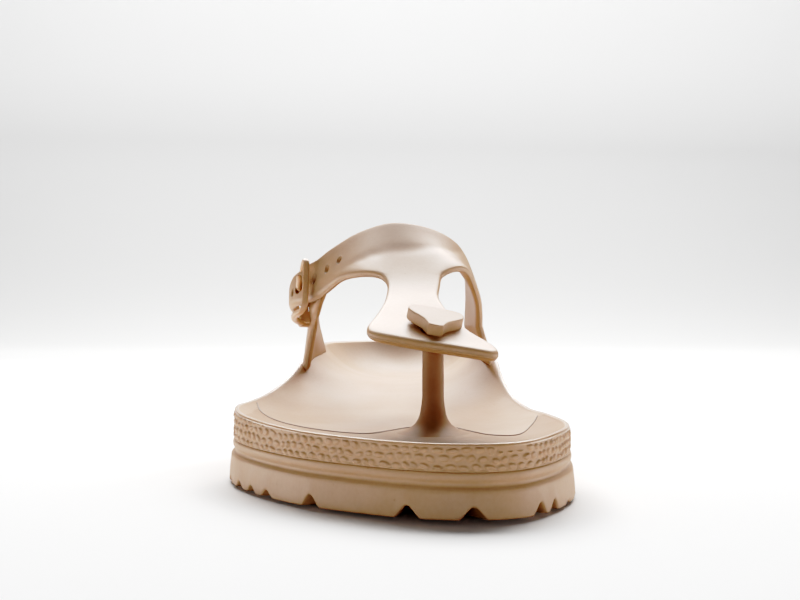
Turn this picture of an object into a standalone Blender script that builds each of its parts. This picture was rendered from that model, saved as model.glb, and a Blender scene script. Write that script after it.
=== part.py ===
"""Toe post sandal, right shoe, moulded in one colour of foam.

The script works in millimetres in the shoe's own sizes and turns them into metres
when a mesh is made: x runs to the inner (medial) side, station runs from the toe
tip to the heel, z is up from the floor. The object then stands with its toe
towards -Y and its origin in the middle of the sole's outline, on the floor.
"""
import math

import bmesh
import bpy
import numpy as np
from mathutils import Vector

MM = 0.001
FIT_GAP = 0.3                  # clearance between pieces that meet

# Driving sizes of the sole
LENGTH = 252.0                 # outline at the split line, toe tip to heel
SOLE_STEPS = 44                # stations along one side of the outline
SPLIT_AT_TOE = 11.6            # height of the line between tread unit and footbed
SPLIT_RISE = 2.0               # how much higher that line is at the heel
TREAD_FLARE = 1.5              # the tread unit's widest step outside the outline
TOE_SPRING = 0.4
HEEL_ROLL = 0.8
ARCH_LIFT = 1.5
SPINE_FRONT, SPINE_REAR = 45.0, 212.0

# Notches that part the lugs along the tread's bottom edge
NOTCH_PITCH = 13.0
NOTCH_HEIGHT = 3.1
NOTCH_HALF_FOOT, NOTCH_HALF_TOP = 2.6, 0.6
NOTCH_REACH = 13.0
NOTCH_TAPER = 0.55            # width of a notch at its inner end
NOTCH_FIRST_X = 18.7           # the notch at the toe tip
NOTCH_TOE_LATERAL = (18.5, 46.5, 62.0)
NOTCH_TOE_MEDIAL = (17.0, 31.0)

# Straps
STRAP_THICKNESS = 3.4
STRAP_EDGE = 0.9               # rounding of the straps' edges
TAB_THICKNESS = 3.0
HOLE_RADIUS = 1.2
HOLE_REACHES = (-20.0, -26.5, -32.8, -47.0)

# Toe post and its shield shaped head
POST_X, POST_STATION = 9.4, 61.0
POST_HOLE_GAP = 0.45
HEAD_THICKNESS = 4.0
HEAD_GAP = 0.5
HEAD_SET_BACK = 3.4            # the head's middle lies behind the post

# Buckle
BAR_WIDTH, BAR_HEIGHT = 2.1, 2.3
WINDOW_LENGTH = 18.0           # inside length of the frame, across the strap
FRAME_CORNER = 2.8
FRAME_BOW = 3.6                # how far the frame's arms bow outwards between the bars
FRAME_SHIFT = -2.5             # the frame sits this far towards the strap's front edge
FREE_BAR_REACH, PIVOT_BAR_REACH = -35.0, -52.0
FREE_BAR_GAP = 1.5             # between the strap and the free bar
PIVOT_BAR_LIFT = 3.4           # underside of the pivot bar over the last
KEEPER_WIDTH, KEEPER_WALL = 2.6, 0.8
KEEPER_PLACES = (-6.2, 3.4)    # across the strap, from the prong
PRONG_RADIUS = 0.9
PRONG_OVERHANG = 1.6           # the prong's tip lies this far past the free bar's middle
PRONG_HOLE_RADIUS = 2.4
SADDLE_HALF, SADDLE_WALL = 1.5, 0.8

FOAM_COLOUR = (0.72, 0.53, 0.41, 1.0)
BUCKLE_COLOUR = (0.66, 0.48, 0.37, 1.0)


class Table:
    """Rows of named columns, read between the rows by a smooth Hermite curve."""

    def __init__(self, columns, rows, key=np.asarray):
        data = np.array(rows, float)
        self.columns = columns.split()[1:]
        self.key = key
        self.knots = key(data[:, 0])
        self.values = data[:, 1:]
        self.slopes = np.gradient(self.values, self.knots, axis=0)

    def row(self, at):
        at = self.key(np.asarray(at, float))
        low = np.clip(np.searchsorted(self.knots, at) - 1, 0, len(self.knots) - 2)
        step = self.knots[low + 1] - self.knots[low]
        t = np.clip((at - self.knots[low]) / step, 0.0, 1.0)[..., None]
        step = step[..., None]
        ends = (2 * t**3 - 3 * t**2 + 1) * self.values[low] + (3 * t**2 - 2 * t**3) * self.values[low + 1]
        bends = (t**3 - 2 * t**2 + t) * self.slopes[low] + (t**3 - t**2) * self.slopes[low + 1]
        return ends + step * bends

    def get(self, column, at):
        return self.row(at)[..., self.columns.index(column)]


def along_outline(station):
    """Angle that spaces the stations closely at the round toe and heel."""
    return np.arccos(np.clip(1.0 - 2.0 * station / LENGTH, -1.0, 1.0))


SOLE = Table("station lateral medial rim_lateral rim_medial floor cup_lateral cup_medial", [
    (0, 17.0, 17.0, 18.4, 18.4, 14.5, 8.0, 8.0),
    (5, 0.8, 29.3, 18.4, 18.4, 14.3, 8.0, 8.0),
    (14, -11.0, 35.8, 18.5, 18.6, 14.2, 8.0, 8.0),
    (28, -25.6, 42.0, 18.9, 19.0, 14.4, 7.0, 7.0),
    (38, -32.8, 45.0, 19.3, 19.0, 14.8, 6.5, 6.5),
    (50, -39.8, 46.8, 19.8, 18.9, 15.2, 6.0, 6.0),
    (68, -47.2, 47.6, 20.6, 18.6, 15.5, 5.0, 5.0),
    (88, -50.2, 45.4, 21.3, 18.8, 15.6, 4.5, 4.5),
    (108, -48.6, 41.2, 21.3, 19.4, 16.4, 4.2, 4.0),
    (122, -45.7, 38.0, 22.3, 22.0, 17.6, 4.0, 3.2),
    (135, -42.3, 35.7, 24.5, 27.0, 19.4, 3.6, 2.8),
    (147, -38.9, 34.4, 27.8, 33.0, 21.4, 3.4, 2.5),
    (160, -35.3, 33.2, 33.0, 36.8, 23.2, 3.2, 2.4),
    (180, -32.7, 31.6, 36.3, 38.3, 24.3, 3.0, 2.6),
    (205, -31.5, 30.6, 37.5, 38.0, 24.3, 3.0, 3.0),
    (225, -28.2, 27.6, 37.8, 37.8, 24.2, 3.0, 3.0),
    (240, -20.5, 20.3, 37.8, 37.8, 24.2, 3.0, 3.0),
    (252, -0.5, -0.5, 37.8, 37.8, 24.3, 3.0, 3.0)], key=along_outline)

# Sections of the form that the straps are moulded over: a rounded arch of its own
# fullness on each side, on straight skirts that lean out by so much per mm of drop
LAST = Table("station centre half_lateral half_medial base crown full_lateral full_medial "
             "skirt_lateral skirt_medial", [
    (45, 2.0, 40.0, 43.0, 15.0, 36.0, 2.2, 2.2, 0.2, 0.0),
    (60, 2.0, 40.0, 42.0, 16.0, 41.0, 2.2, 2.2, 0.2, 0.0),
    (80, 1.5, 34.0, 38.0, 22.0, 48.2, 2.1, 2.4, 0.2, 0.0),
    (100, 0.5, 28.0, 33.0, 29.0, 56.6, 2.0, 2.8, 0.2, 0.0),
    (113, -0.5, 24.5, 30.0, 35.0, 64.2, 1.85, 2.9, 0.2, 0.1),
    (127, -1.2, 23.2, 28.0, 42.0, 73.6, 1.8, 1.95, 0.2, 0.25),
    (143, -2.0, 24.2, 27.2, 45.0, 84.0, 1.9, 2.0, 0.2, 0.3),
    (158, -2.0, 28.2, 25.6, 45.0, 92.5, 1.95, 2.1, 0.15, 0.35),
    (175, -2.0, 28.6, 24.2, 45.0, 100.0, 2.0, 2.2, -0.1, 0.35),
    (195, -2.0, 27.4, 23.0, 45.0, 107.0, 2.1, 2.3, -0.2, 0.35)])

ARCH_STEPS = 160               # samples of half an arch
SKIRT_DROP = 30                # mm of skirt under the arch

# The instep band from the tail's tip over the crown to its medial foot: girth from the
# crown line, station and lift over the last, along its front edge and its rear edge
BAND = Table("reach girth_front station_front lift_front girth_rear station_rear lift_rear", [
    (-62, -57.9, 163.0, 4.9, -57.0, 163.6, 5.0),
    (-60.5, -58.6, 162.0, 5.0, -55.8, 163.7, 5.3),
    (-57, -57.2, 160.0, 6.0, -54.0, 162.2, 6.6),
    (-52, -54.0, 156.2, 7.2, -49.9, 159.5, 7.8),
    (-47, -49.5, 151.3, 6.9, -44.7, 156.1, 7.4),
    (-41, -44.3, 144.9, 5.5, -40.2, 151.6, 6.0),
    (-38, -41.1, 140.7, 4.3, -36.5, 149.3, 4.9),
    (-34, -36.7, 135.9, 2.2, -30.6, 147.3, 3.5),
    (-27, -28.2, 128.6, 0.2, -23.5, 142.9, 1.8),
    (-20, -20.4, 121.8, 0.0, -18.3, 140.3, 0.6),
    (-14, -14.5, 115.0, 0.0, -13.5, 138.1, 0.1),
    (-10, -9.8, 110.6, 0.0, -10.5, 136.4, 0.0),
    (-6, -6.0, 105.5, 0.0, -7.0, 134.9, 0.0),
    (0, 0.0, 102.5, 0.0, 0.0, 133.8, 0.0),
    (6.5, 6.5, 103.0, 0.0, 7.5, 135.0, 0.0),
    (13, 13.0, 105.5, 0.0, 16.0, 138.5, 0.0),
    (19, 20.5, 116.0, 0.0, 24.5, 143.5, 0.0),
    (25, 28.0, 124.0, 0.0, 33.0, 150.0, 0.0),
    (34, 37.0, 131.5, 0.0, 45.0, 158.5, 0.0),
    (44, 46.0, 137.5, 0.0, 58.0, 166.0, 0.0),
    (56, 55.5, 140.0, 0.0, 70.0, 170.5, 0.0),
    (66, 66.0, 140.5, 0.0, 81.0, 172.0, 0.0)])
THROAT = (-6.0, 13.0)          # reaches between which the toe strap leaves the band
BAND_STEPS_LATERAL, BAND_STEPS_THROAT, BAND_STEPS_MEDIAL, BAND_STEPS_ACROSS = 20, 8, 14, 6

# The toe strap from the throat to the flap's bowed front edge
TOE_STRAP = Table("along girth_left station_left girth_right station_right bow", [
    (0.0, -6.0, 105.5, 13.0, 105.5, 0.0),
    (0.12, -4.4, 100.0, 12.1, 100.5, 0.0),
    (0.25, -4.8, 94.0, 11.0, 94.5, 0.0),
    (0.40, -6.0, 86.0, 11.1, 87.5, 0.2),
    (0.55, -8.0, 78.5, 13.4, 77.5, 0.8),
    (0.70, -9.7, 73.0, 17.5, 67.3, 2.0),
    (0.82, -10.9, 69.5, 21.8, 62.3, 4.2),
    (0.92, -11.3, 67.3, 24.8, 59.3, 6.8),
    (1.0, -11.3, 65.5, 25.4, 56.0, 9.2)])
TOE_STRAP_STEPS = 12

# The short lateral tab that carries the buckle, from its end down into the sole
TAB = Table("drop girth_front station_front girth_rear station_rear", [
    (0, -37.5, 143.5, -34.0, 149.5),
    (7, -44.0, 148.0, -38.5, 156.5),
    (14, -50.5, 151.0, -44.5, 163.5),
    (21, -57.0, 152.8, -53.0, 171.0),
    (27, -62.5, 153.2, -63.0, 178.5),
    (33, -67.5, 153.3, -75.0, 186.0),
    (39, -74.0, 153.3, -83.5, 189.0)])
TAB_STEPS, TAB_STEPS_ACROSS = 14, 6
TAB_SOCKET = 31.0              # drop from which the tab is inside the sole
BAND_SOCKET = 57.0             # reach from which the medial leg is inside the sole
SOCKET_LEAD = 8.0              # the sockets are cut from this far above

# Sections of the post: height over the footbed, half width and half length
POST = Table("height half_width half_length", [
    (-2.0, 8.6, 9.6),
    (0.6, 7.2, 8.2),
    (1.6, 5.6, 6.6),
    (3.5, 4.2, 5.2),
    (7.0, 3.5, 4.6),
    (16.0, 3.2, 4.2),
    (31.0, 3.1, 4.0)])
POST_HEIGHTS = (-2.0, 0.6, 1.6, 2.6, 3.5, 5.0, 7.0, 11.0, 16.0, 31.0)
POST_SIDES = 16

# Half of the head's outline, from the middle of its back to its cut off tip
HEAD_HALF = ((0.0, -8.0), (6.2, -7.4), (8.0, -5.6), (8.2, -1.6), (5.2, 1.6), (2.6, 5.2), (1.2, 7.8))


def x_middle():
    """Middle of the sole's widest outline, which becomes x = 0."""
    plan = outline_plan(TREAD_FLARE)
    return (plan[:, 0].min() + plan[:, 0].max()) / 2.0


def to_world(points):
    """Shoe sizes in millimetres to metres in the object's frame."""
    points = np.asarray(points, float)
    return (points - (X_MIDDLE, LENGTH / 2.0, 0.0)) * MM


def make_object(name, points, faces):
    """A mesh object from shoe points, doubles merged, faces turned outwards."""
    mesh = bpy.data.meshes.new(name)
    mesh.from_pydata(to_world(points).tolist(), [], faces)
    shape = bmesh.new()
    shape.from_mesh(mesh)
    bmesh.ops.remove_doubles(shape, verts=shape.verts, dist=0.00002)
    bmesh.ops.recalc_face_normals(shape, faces=shape.faces)
    shape.to_mesh(mesh)
    shape.free()
    made = bpy.data.objects.new(name, mesh)
    bpy.context.scene.collection.objects.link(made)
    return made


def loft(rings, close_ends=False):
    """Faces between rings of equal length, each ring a closed loop of points."""
    count = len(rings[0])
    faces = []
    for level in range(len(rings) - 1):
        for i in range(count):
            j = (i + 1) % count
            low, high = level * count, (level + 1) * count
            faces.append((low + i, low + j, high + j, high + i))
    if close_ends:
        faces.append(tuple(range(count)))
        faces.append(tuple((len(rings) - 1) * count + i for i in range(count)))
    return np.vstack(rings), faces


def finish(piece, material, smooth_angle=40.0):
    """Material and smooth shading of a finished piece."""
    piece.data.materials.append(material)
    piece.data.shade_smooth()
    piece.data.set_sharp_from_angle(angle=math.radians(smooth_angle))
    piece.parent = bpy.data.objects["sandal"]


def as_cutter(piece):
    piece.hide_render = True
    piece.display_type = "WIRE"
    piece.parent = bpy.data.objects["sandal"]


def add_boolean(piece, cutter, operation):
    step = piece.modifiers.new(operation.lower() + "_" + cutter.name, "BOOLEAN")
    step.operation = operation
    step.solver = "EXACT"
    step.object = cutter
    as_cutter(cutter)


def foam(name, colour, roughness):
    material = bpy.data.materials.new(name)
    material.use_nodes = True
    shader = material.node_tree.nodes["Principled BSDF"]
    shader.inputs["Base Color"].default_value = colour
    shader.inputs["Roughness"].default_value = roughness
    shader.inputs["Metallic"].default_value = 0.0
    return material


def ring_stations():
    """Stations once round the outline: lateral side to the heel, medial side back."""
    half = LENGTH / 2.0 * (1.0 - np.cos(np.linspace(0.0, math.pi, SOLE_STEPS + 1)))
    return np.concatenate([half, half[-2:0:-1]])


def ring_side(lateral, medial):
    """The lateral values down one side and the medial values back up the other."""
    stations = ring_stations()
    is_lateral = np.arange(len(stations)) <= SOLE_STEPS
    return np.where(is_lateral, SOLE.get(lateral, stations), SOLE.get(medial, stations))


def outline_plan(offset):
    """The outline in plan, moved outwards by an offset."""
    plan = np.column_stack([ring_side("lateral", "medial"), ring_stations()])
    run = np.roll(plan, -1, axis=0) - np.roll(plan, 1, axis=0)
    outward = np.column_stack([-run[:, 1], run[:, 0]])
    outward /= np.linalg.norm(outward, axis=1)[:, None]
    return plan + offset * outward


X_MIDDLE = x_middle()


def split_height(station):
    return SPLIT_AT_TOE + SPLIT_RISE * station / LENGTH


def tread_height(station):
    """Underside of the tread: flat at forefoot and heel, lifted at toe, arch and heel edge."""
    toe = TOE_SPRING * np.clip(1.0 - station / 28.0, 0.0, 1.0) ** 2
    heel = HEEL_ROLL * np.clip((station - LENGTH + 16.0) / 16.0, 0.0, 1.0) ** 2
    arch = ARCH_LIFT * np.sin(np.pi * np.clip((station - 112.0) / 64.0, 0.0, 1.0)) ** 2
    return toe + heel + arch


def side_ring(offset, height):
    plan = outline_plan(offset)
    return np.column_stack([plan, np.broadcast_to(height, len(plan))])


def towards_spine(edge, shares):
    """Rings that shrink an edge ring in plan onto the sole's middle line."""
    station = np.clip(ring_stations(), SPINE_FRONT, SPINE_REAR)
    middle = (SOLE.get("lateral", station) + SOLE.get("medial", station)) / 2.0
    spine = np.column_stack([middle, station])
    return [spine + share * (edge[:, :2] - spine) for share in shares]


def make_outsole(material):
    """Tread unit: bead, soft groove and flared lower band, notched into lugs."""
    station = ring_stations()
    split, tread = split_height(station), tread_height(station)
    profile = [(0.6, tread), (TREAD_FLARE, tread + 0.9), (0.8, split - 4.2), (0.1, split - 3.5),
               (-0.2, split - 2.8), (0.2, split - 2.1), (0.6, split - 1.2), (0.2, split - 0.4), (-0.6, split)]
    side = [side_ring(offset, height) for offset, height in profile]
    under = [np.column_stack([plan, tread_height(plan[:, 1])])
             for plan in towards_spine(side[0], (0.0, 0.35, 0.7))]
    top = [np.column_stack([plan, split_height(plan[:, 1])])
           for plan in towards_spine(side[-1], (0.6, 0.0))]
    outsole = make_object("outsole", *loft(under + side + top))
    add_boolean(outsole, make_notches(), "DIFFERENCE")
    finish(outsole, material)
    return outsole


def notch_places():
    """Arc lengths round the outline at which a notch is cut, from the first sample on."""
    plan = outline_plan(TREAD_FLARE)
    loop = np.vstack([plan, plan[:1]])
    arc = np.concatenate([[0.0], np.cumsum(np.linalg.norm(np.diff(loop, axis=0), axis=1))])
    whole = arc[-1]
    medial_front = np.arange(len(plan)) > 1.5 * SOLE_STEPS
    nearest = np.argmin(np.where(medial_front, abs(plan[:, 0] - NOTCH_FIRST_X), np.inf))
    first = arc[nearest] - whole
    lateral = list(NOTCH_TOE_LATERAL)
    medial = list(NOTCH_TOE_MEDIAL)
    while lateral[-1] + NOTCH_PITCH < whole / 2.0 - NOTCH_PITCH / 2.0:
        lateral.append(lateral[-1] + NOTCH_PITCH)
    while medial[-1] + NOTCH_PITCH < whole / 2.0 - NOTCH_PITCH / 2.0:
        medial.append(medial[-1] + NOTCH_PITCH)
    places = [first] + [first + d for d in lateral] + [first - d for d in medial]
    return loop, arc, [place % whole for place in places]


def make_notches():
    """One wedge for each gap between two lugs, pointing in from the outline."""
    loop, arc, places = notch_places()
    section = [(-NOTCH_HALF_FOOT, -1.2), (NOTCH_HALF_FOOT, -1.2), (NOTCH_HALF_FOOT, 0.0),
               (NOTCH_HALF_TOP, NOTCH_HEIGHT), (-NOTCH_HALF_TOP, NOTCH_HEIGHT), (-NOTCH_HALF_FOOT, 0.0)]
    sides = len(section)
    points, faces = [], []
    for place in places:
        centre = np.array([np.interp(place, arc, loop[:, axis]) for axis in (0, 1)])
        ahead = np.array([np.interp(place + 0.5, arc, loop[:, axis]) for axis in (0, 1)])
        along = (ahead - centre) / np.linalg.norm(ahead - centre)
        inward = np.array([along[1], -along[0]])
        start = len(points)
        base = float(tread_height(np.array(centre[1])))
        for reach, taper in ((-3.0, 1.0), (NOTCH_REACH, NOTCH_TAPER)):
            for across, height in section:
                spot = centre + reach * inward + taper * across * along
                points.append((spot[0], spot[1], base + height))
        a, b = start, start + sides
        faces += [tuple(range(a, b)), tuple(range(b, b + sides))]
        faces += [(a + i, a + (i + 1) % sides, b + (i + 1) % sides, b + i) for i in range(sides)]
    return make_object("notch_wedges", points, faces)


def make_footbed(material):
    """Hammered band, rim and bowl in one body, with the toe post moulded on."""
    station = ring_stations()
    split = split_height(station) + FIT_GAP
    rim = ring_side("rim_lateral", "rim_medial")
    profile = [(-0.9, split), (-0.1, split + 0.7), (0.0, (split + rim) / 2.0), (0.0, rim - 2.0),
               (-0.3, rim - 0.8), (-1.0, rim - 0.15), (-1.7, rim), (-2.6, rim - 0.25)]
    side = [side_ring(offset, height) for offset, height in profile]
    under = [np.column_stack([plan, split_height(plan[:, 1]) + FIT_GAP])
             for plan in towards_spine(side[0], (0.0, 0.6))]
    shares = (0.97, 0.92, 0.85, 0.75, 0.6, 0.4, 0.2, 0.0)
    edge, cup = side[-1], ring_side("cup_lateral", "cup_medial")
    floor = ring_side("floor", "floor")
    bowl = []
    for share, plan in zip(shares, towards_spine(edge, shares)):
        inner_floor = SOLE.get("floor", np.clip(plan[:, 1], SPINE_FRONT, SPINE_REAR))
        depth = share * floor + (1.0 - share) * inner_floor
        bowl.append(np.column_stack([plan, depth + (edge[:, 2] - depth) * share ** cup]))
    footbed = make_object("footbed", *loft(under + side + bowl))
    medial_socket = make_strap_sheet("medial_socket", *medial_leg_grid(), -FIT_GAP,
                                     STRAP_THICKNESS + 2 * FIT_GAP)
    tab_foot = tab_grid(TAB_SOCKET - SOCKET_LEAD, FIT_GAP)
    lateral_socket = make_strap_sheet("lateral_socket", *tab_foot, -FIT_GAP,
                                      TAB_THICKNESS + 2 * FIT_GAP)
    add_boolean(footbed, medial_socket, "DIFFERENCE")
    add_boolean(footbed, lateral_socket, "DIFFERENCE")
    add_boolean(footbed, make_post(), "UNION")
    add_boolean(footbed, make_head(), "UNION")
    finish(footbed, material)
    return footbed


def footbed_floor(station):
    return float(SOLE.get("floor", station))


def post_ring(height, grow=0.0):
    turn = np.linspace(0.0, 2.0 * math.pi, POST_SIDES, endpoint=False)
    half_width, half_length = POST.row(height) + grow
    return np.column_stack([POST_X + half_width * np.cos(turn), POST_STATION + half_length * np.sin(turn),
                            np.full(POST_SIDES, footbed_floor(POST_STATION) + height)])


def make_post():
    rings = [post_ring(height) for height in POST_HEIGHTS]
    return make_object("toe_post", *loft(rings, close_ends=True))


def make_post_hole():
    rings = [post_ring(height, POST_HOLE_GAP) for height in POST_HEIGHTS[-2:]]
    rings.append(rings[-1] + (0.0, 0.0, 2.0 * STRAP_THICKNESS))
    return make_object("post_hole", *loft(rings, close_ends=True))


def head_frame():
    """Point on the flap's top over the post, and the flap's own directions there."""
    girth = girth_at(POST_X, POST_STATION)
    foot = skin(girth, POST_STATION, STRAP_THICKNESS)
    across = skin(girth + 2.0, POST_STATION, STRAP_THICKNESS) - foot
    across /= np.linalg.norm(across)
    normal = skin(girth, POST_STATION, STRAP_THICKNESS + 1.0) - foot
    forward = np.cross(normal, across) * -1.0
    return foot, across, forward, normal


def make_head():
    """Shield shaped stud that holds the flap down, tip towards the toe."""
    foot, across, forward, normal = head_frame()
    foot = foot - HEAD_SET_BACK * forward
    mirrored = [(-x, y) for x, y in HEAD_HALF[:0:-1]]
    outline = list(HEAD_HALF) + mirrored
    levels = ((HEAD_GAP, 0.96), (HEAD_GAP + 0.7, 1.0), (HEAD_GAP + HEAD_THICKNESS - 0.7, 1.0),
              (HEAD_GAP + HEAD_THICKNESS, 0.9))
    rings = [np.array([foot + scale * (x * across + y * forward) + height * normal for x, y in outline])
             for height, scale in levels]
    return make_object("stud_head", *loft(rings, close_ends=True))


def last_section(station):
    """Girth from the crown, x and z along the last's section, lateral foot to medial foot."""
    form = dict(zip(LAST.columns, LAST.row(station)))
    turn = np.linspace(math.pi, 0.0, 2 * ARCH_STEPS + 1)
    medial = np.cos(turn) > 0.0
    half = np.where(medial, form["half_medial"], form["half_lateral"])
    power = 2.0 / np.where(medial, form["full_medial"], form["full_lateral"])
    arch_x = form["centre"] + half * np.sign(np.cos(turn)) * np.abs(np.cos(turn)) ** power
    arch_z = form["base"] + (form["crown"] - form["base"]) * np.abs(np.sin(turn)) ** power
    drop = np.arange(1.0, SKIRT_DROP + 1.0)
    lateral_x = form["centre"] - form["half_lateral"] - form["skirt_lateral"] * drop
    medial_x = form["centre"] + form["half_medial"] + form["skirt_medial"] * drop
    x = np.concatenate([lateral_x[::-1], arch_x, medial_x])
    z = np.concatenate([form["base"] - drop[::-1], arch_z, form["base"] - drop])
    girth = np.concatenate([[0.0], np.cumsum(np.hypot(np.diff(x), np.diff(z)))])
    return girth - girth[SKIRT_DROP + ARCH_STEPS], x, z


def last_point(girth, station):
    lengths, x, z = last_section(station)
    return np.array([np.interp(girth, lengths, x), station, np.interp(girth, lengths, z)])


def skin(girth, station, lift):
    """Point at a height over the last, measured square to its surface."""
    reach = 0.8
    across = last_point(girth + reach, station) - last_point(girth - reach, station)
    along = last_point(girth, station + reach) - last_point(girth, station - reach)
    normal = np.cross(across, along)
    return last_point(girth, station) + lift * normal / np.linalg.norm(normal)


def girth_at(x, station):
    """Girth on the upper side of the last at a place x."""
    lengths, across, _ = last_section(station)
    arch = slice(SKIRT_DROP, -SKIRT_DROP)
    return float(np.interp(x, across[arch], lengths[arch]))


def grid_faces(rows, columns, start=0):
    return [(start + r * columns + c, start + r * columns + c + 1,
             start + (r + 1) * columns + c + 1, start + (r + 1) * columns + c)
            for r in range(rows - 1) for c in range(columns - 1)]


def row_points(front, rear, steps):
    """Points from a strap's front edge to its rear edge, as girth, station and lift."""
    shares = np.linspace(0.0, 1.0, steps + 1)[:, None]
    return list((1.0 - shares) * np.array(front) + shares * np.array(rear))


def eased(steps):
    """Shares from 0 to 1 that are closer together at both ends."""
    return (1.0 - np.cos(np.linspace(0.0, math.pi, steps + 1))) / 2.0


def band_reaches():
    lateral = np.linspace(BAND.knots[0], THROAT[0], BAND_STEPS_LATERAL + 1)
    throat = THROAT[0] + (THROAT[1] - THROAT[0]) * eased(BAND_STEPS_THROAT)
    medial = np.linspace(THROAT[1], BAND.knots[-1], BAND_STEPS_MEDIAL + 1)
    return np.concatenate([lateral, throat[1:-1], medial])


def band_row(reach, grow=0.0, deeper=0.0):
    """One row across the band, or across its socket where it grows."""
    row = BAND.row(reach)
    front = row[:3] + (deeper, -grow, 0.0)
    rear = row[3:] + (deeper, grow, 0.0)
    return row_points(front, rear, BAND_STEPS_ACROSS)


def upper_grid():
    """Nodes and faces of the whole strap sheet: instep band, then toe strap."""
    reaches = band_reaches()
    nodes = [node for reach in reaches for node in band_row(reach)]
    columns = BAND_STEPS_ACROSS + 1
    faces = grid_faces(len(reaches), columns)
    first = BAND_STEPS_LATERAL
    root = [(first + i) * columns for i in range(BAND_STEPS_THROAT + 1)]
    shares = eased(BAND_STEPS_THROAT)
    previous = root
    for along in np.linspace(0.0, 1.0, TOE_STRAP_STEPS + 1)[1:]:
        girth_left, station_left, girth_right, station_right, bow = TOE_STRAP.row(along)
        current = []
        for share in shares:
            arch = math.sqrt(max(0.0, 1.0 - (2.0 * share - 1.0) ** 2))
            girth = girth_left + share * (girth_right - girth_left)
            station = station_left + share * (station_right - station_left) - bow * arch
            current.append(len(nodes))
            nodes.append((girth, station, 0.0))
        for i in range(len(current) - 1):
            faces.append((previous[i], previous[i + 1], current[i + 1], current[i]))
        previous = current
    return nodes, faces


def medial_leg_grid():
    """The part of the band that goes into the sole, a little wider and deeper than the strap."""
    reaches = np.linspace(BAND_SOCKET - SOCKET_LEAD, BAND.knots[-1], 6)
    rows = [band_row(reach, FIT_GAP, FIT_GAP * (reach == reaches[-1])) for reach in reaches]
    nodes = [node for row in rows for node in row]
    return nodes, grid_faces(len(rows), BAND_STEPS_ACROSS + 1)


def tab_grid(first_drop=0.0, grow=0.0):
    """The lateral tab from a drop down to its foot, or its socket where it grows."""
    rows = []
    for drop in np.linspace(first_drop, TAB.knots[-1], TAB_STEPS + 1):
        girth_front, station_front, girth_rear, station_rear = TAB.row(drop)
        deeper = grow if drop == TAB.knots[-1] else 0.0
        rows.append(row_points((girth_front - deeper, station_front - grow, 0.0),
                               (girth_rear - deeper, station_rear + grow, 0.0), TAB_STEPS_ACROSS))
    nodes = [node for row in rows for node in row]
    return nodes, grid_faces(len(rows), TAB_STEPS_ACROSS + 1)


def make_strap_sheet(name, nodes, faces, lift, thickness):
    """A strap: its inner face at a lift over the last, given its thickness outwards."""
    points = [skin(girth, station, rise + lift) for girth, station, rise in nodes]
    piece = make_object(name, points, faces)
    middle = piece.data.polygons[len(faces) // 2]
    outward = Vector((middle.center.x, 0.0, middle.center.z - 0.03))
    if middle.normal.dot(outward) < 0.0:
        piece.data.flip_normals()
    wall = piece.modifiers.new("wall", "SOLIDIFY")
    wall.thickness = thickness * MM
    wall.offset = 1.0
    wall.use_even_offset = True
    return piece


def round_edges(piece, width):
    edge = piece.modifiers.new("edges", "BEVEL")
    edge.width = width * MM
    edge.segments = 2
    edge.limit_method = "ANGLE"
    edge.angle_limit = math.radians(50.0)


def band_frame(reach):
    """Middle of the band at a reach: point finder over the last, and its directions."""
    row = BAND.row(reach)
    girth, station, lift = (row[:3] + row[3:]) / 2.0
    across = skin(*row[3:]) - skin(*row[:3])
    across /= np.linalg.norm(across)
    normal = skin(girth, station, 1.0) - skin(girth, station, 0.0)
    normal -= across * np.dot(across, normal)
    normal /= np.linalg.norm(normal)
    return girth, station, lift, across, normal


def rod(points, radius, sides=10):
    """Rings of a straight or bent rod along a few points."""
    points = np.asarray(points, float)
    runs = np.gradient(points, axis=0)
    runs /= np.linalg.norm(runs, axis=1)[:, None]
    turn = np.linspace(0.0, 2.0 * math.pi, sides, endpoint=False)
    side = np.cross(runs[0], runs[-1])
    if np.linalg.norm(side) < 1e-6:
        side = np.cross(runs[0], np.roll(runs[0], 1) + (0.0, 0.0, 1.0))
    side /= np.linalg.norm(side)
    rings = []
    for point, run in zip(points, runs):
        up = np.cross(run, side)
        rings.append(np.array([point + radius * (math.cos(a) * side + math.sin(a) * up) for a in turn]))
    return rings


def make_strap_holes():
    """Adjusting holes along the band's middle, square to its surface."""
    points, faces = [], []
    for reach in HOLE_REACHES:
        girth, station, lift, _, normal = band_frame(reach)
        middle = skin(girth, station, lift + STRAP_THICKNESS / 2.0)
        half = STRAP_THICKNESS * normal
        spots, sides = loft(rod([middle - half, middle, middle + half], HOLE_RADIUS), close_ends=True)
        faces += [tuple(len(points) + i for i in side) for side in sides]
        points += list(spots)
    return make_object("strap_holes", points, faces)


def make_upper(material):
    """T-shaped strap in one wall: flap, toe strap, instep band, medial leg and tail."""
    upper = make_strap_sheet("upper", *upper_grid(), 0.0, STRAP_THICKNESS)
    round_edges(upper, STRAP_EDGE)
    add_boolean(upper, make_post_hole(), "DIFFERENCE")
    add_boolean(upper, make_strap_holes(), "DIFFERENCE")
    add_boolean(upper, make_prong_hole(), "DIFFERENCE")
    finish(upper, material)
    return upper


def buckle_frame_axes():
    """Bar centres, and the frame's directions: across, from free bar to pivot bar, outwards."""
    girth, station, lift, across, _ = band_frame(FREE_BAR_REACH)
    free = skin(girth, station, lift + STRAP_THICKNESS + FREE_BAR_GAP + BAR_HEIGHT / 2.0)
    girth, station, _, _, _ = band_frame(PIVOT_BAR_REACH)
    pivot = skin(girth, station, PIVOT_BAR_LIFT + BAR_HEIGHT / 2.0)
    along = (pivot - free) / np.linalg.norm(pivot - free)
    across -= along * np.dot(across, along)
    across /= np.linalg.norm(across)
    return free, pivot, across, along, np.cross(across, along)


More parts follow.
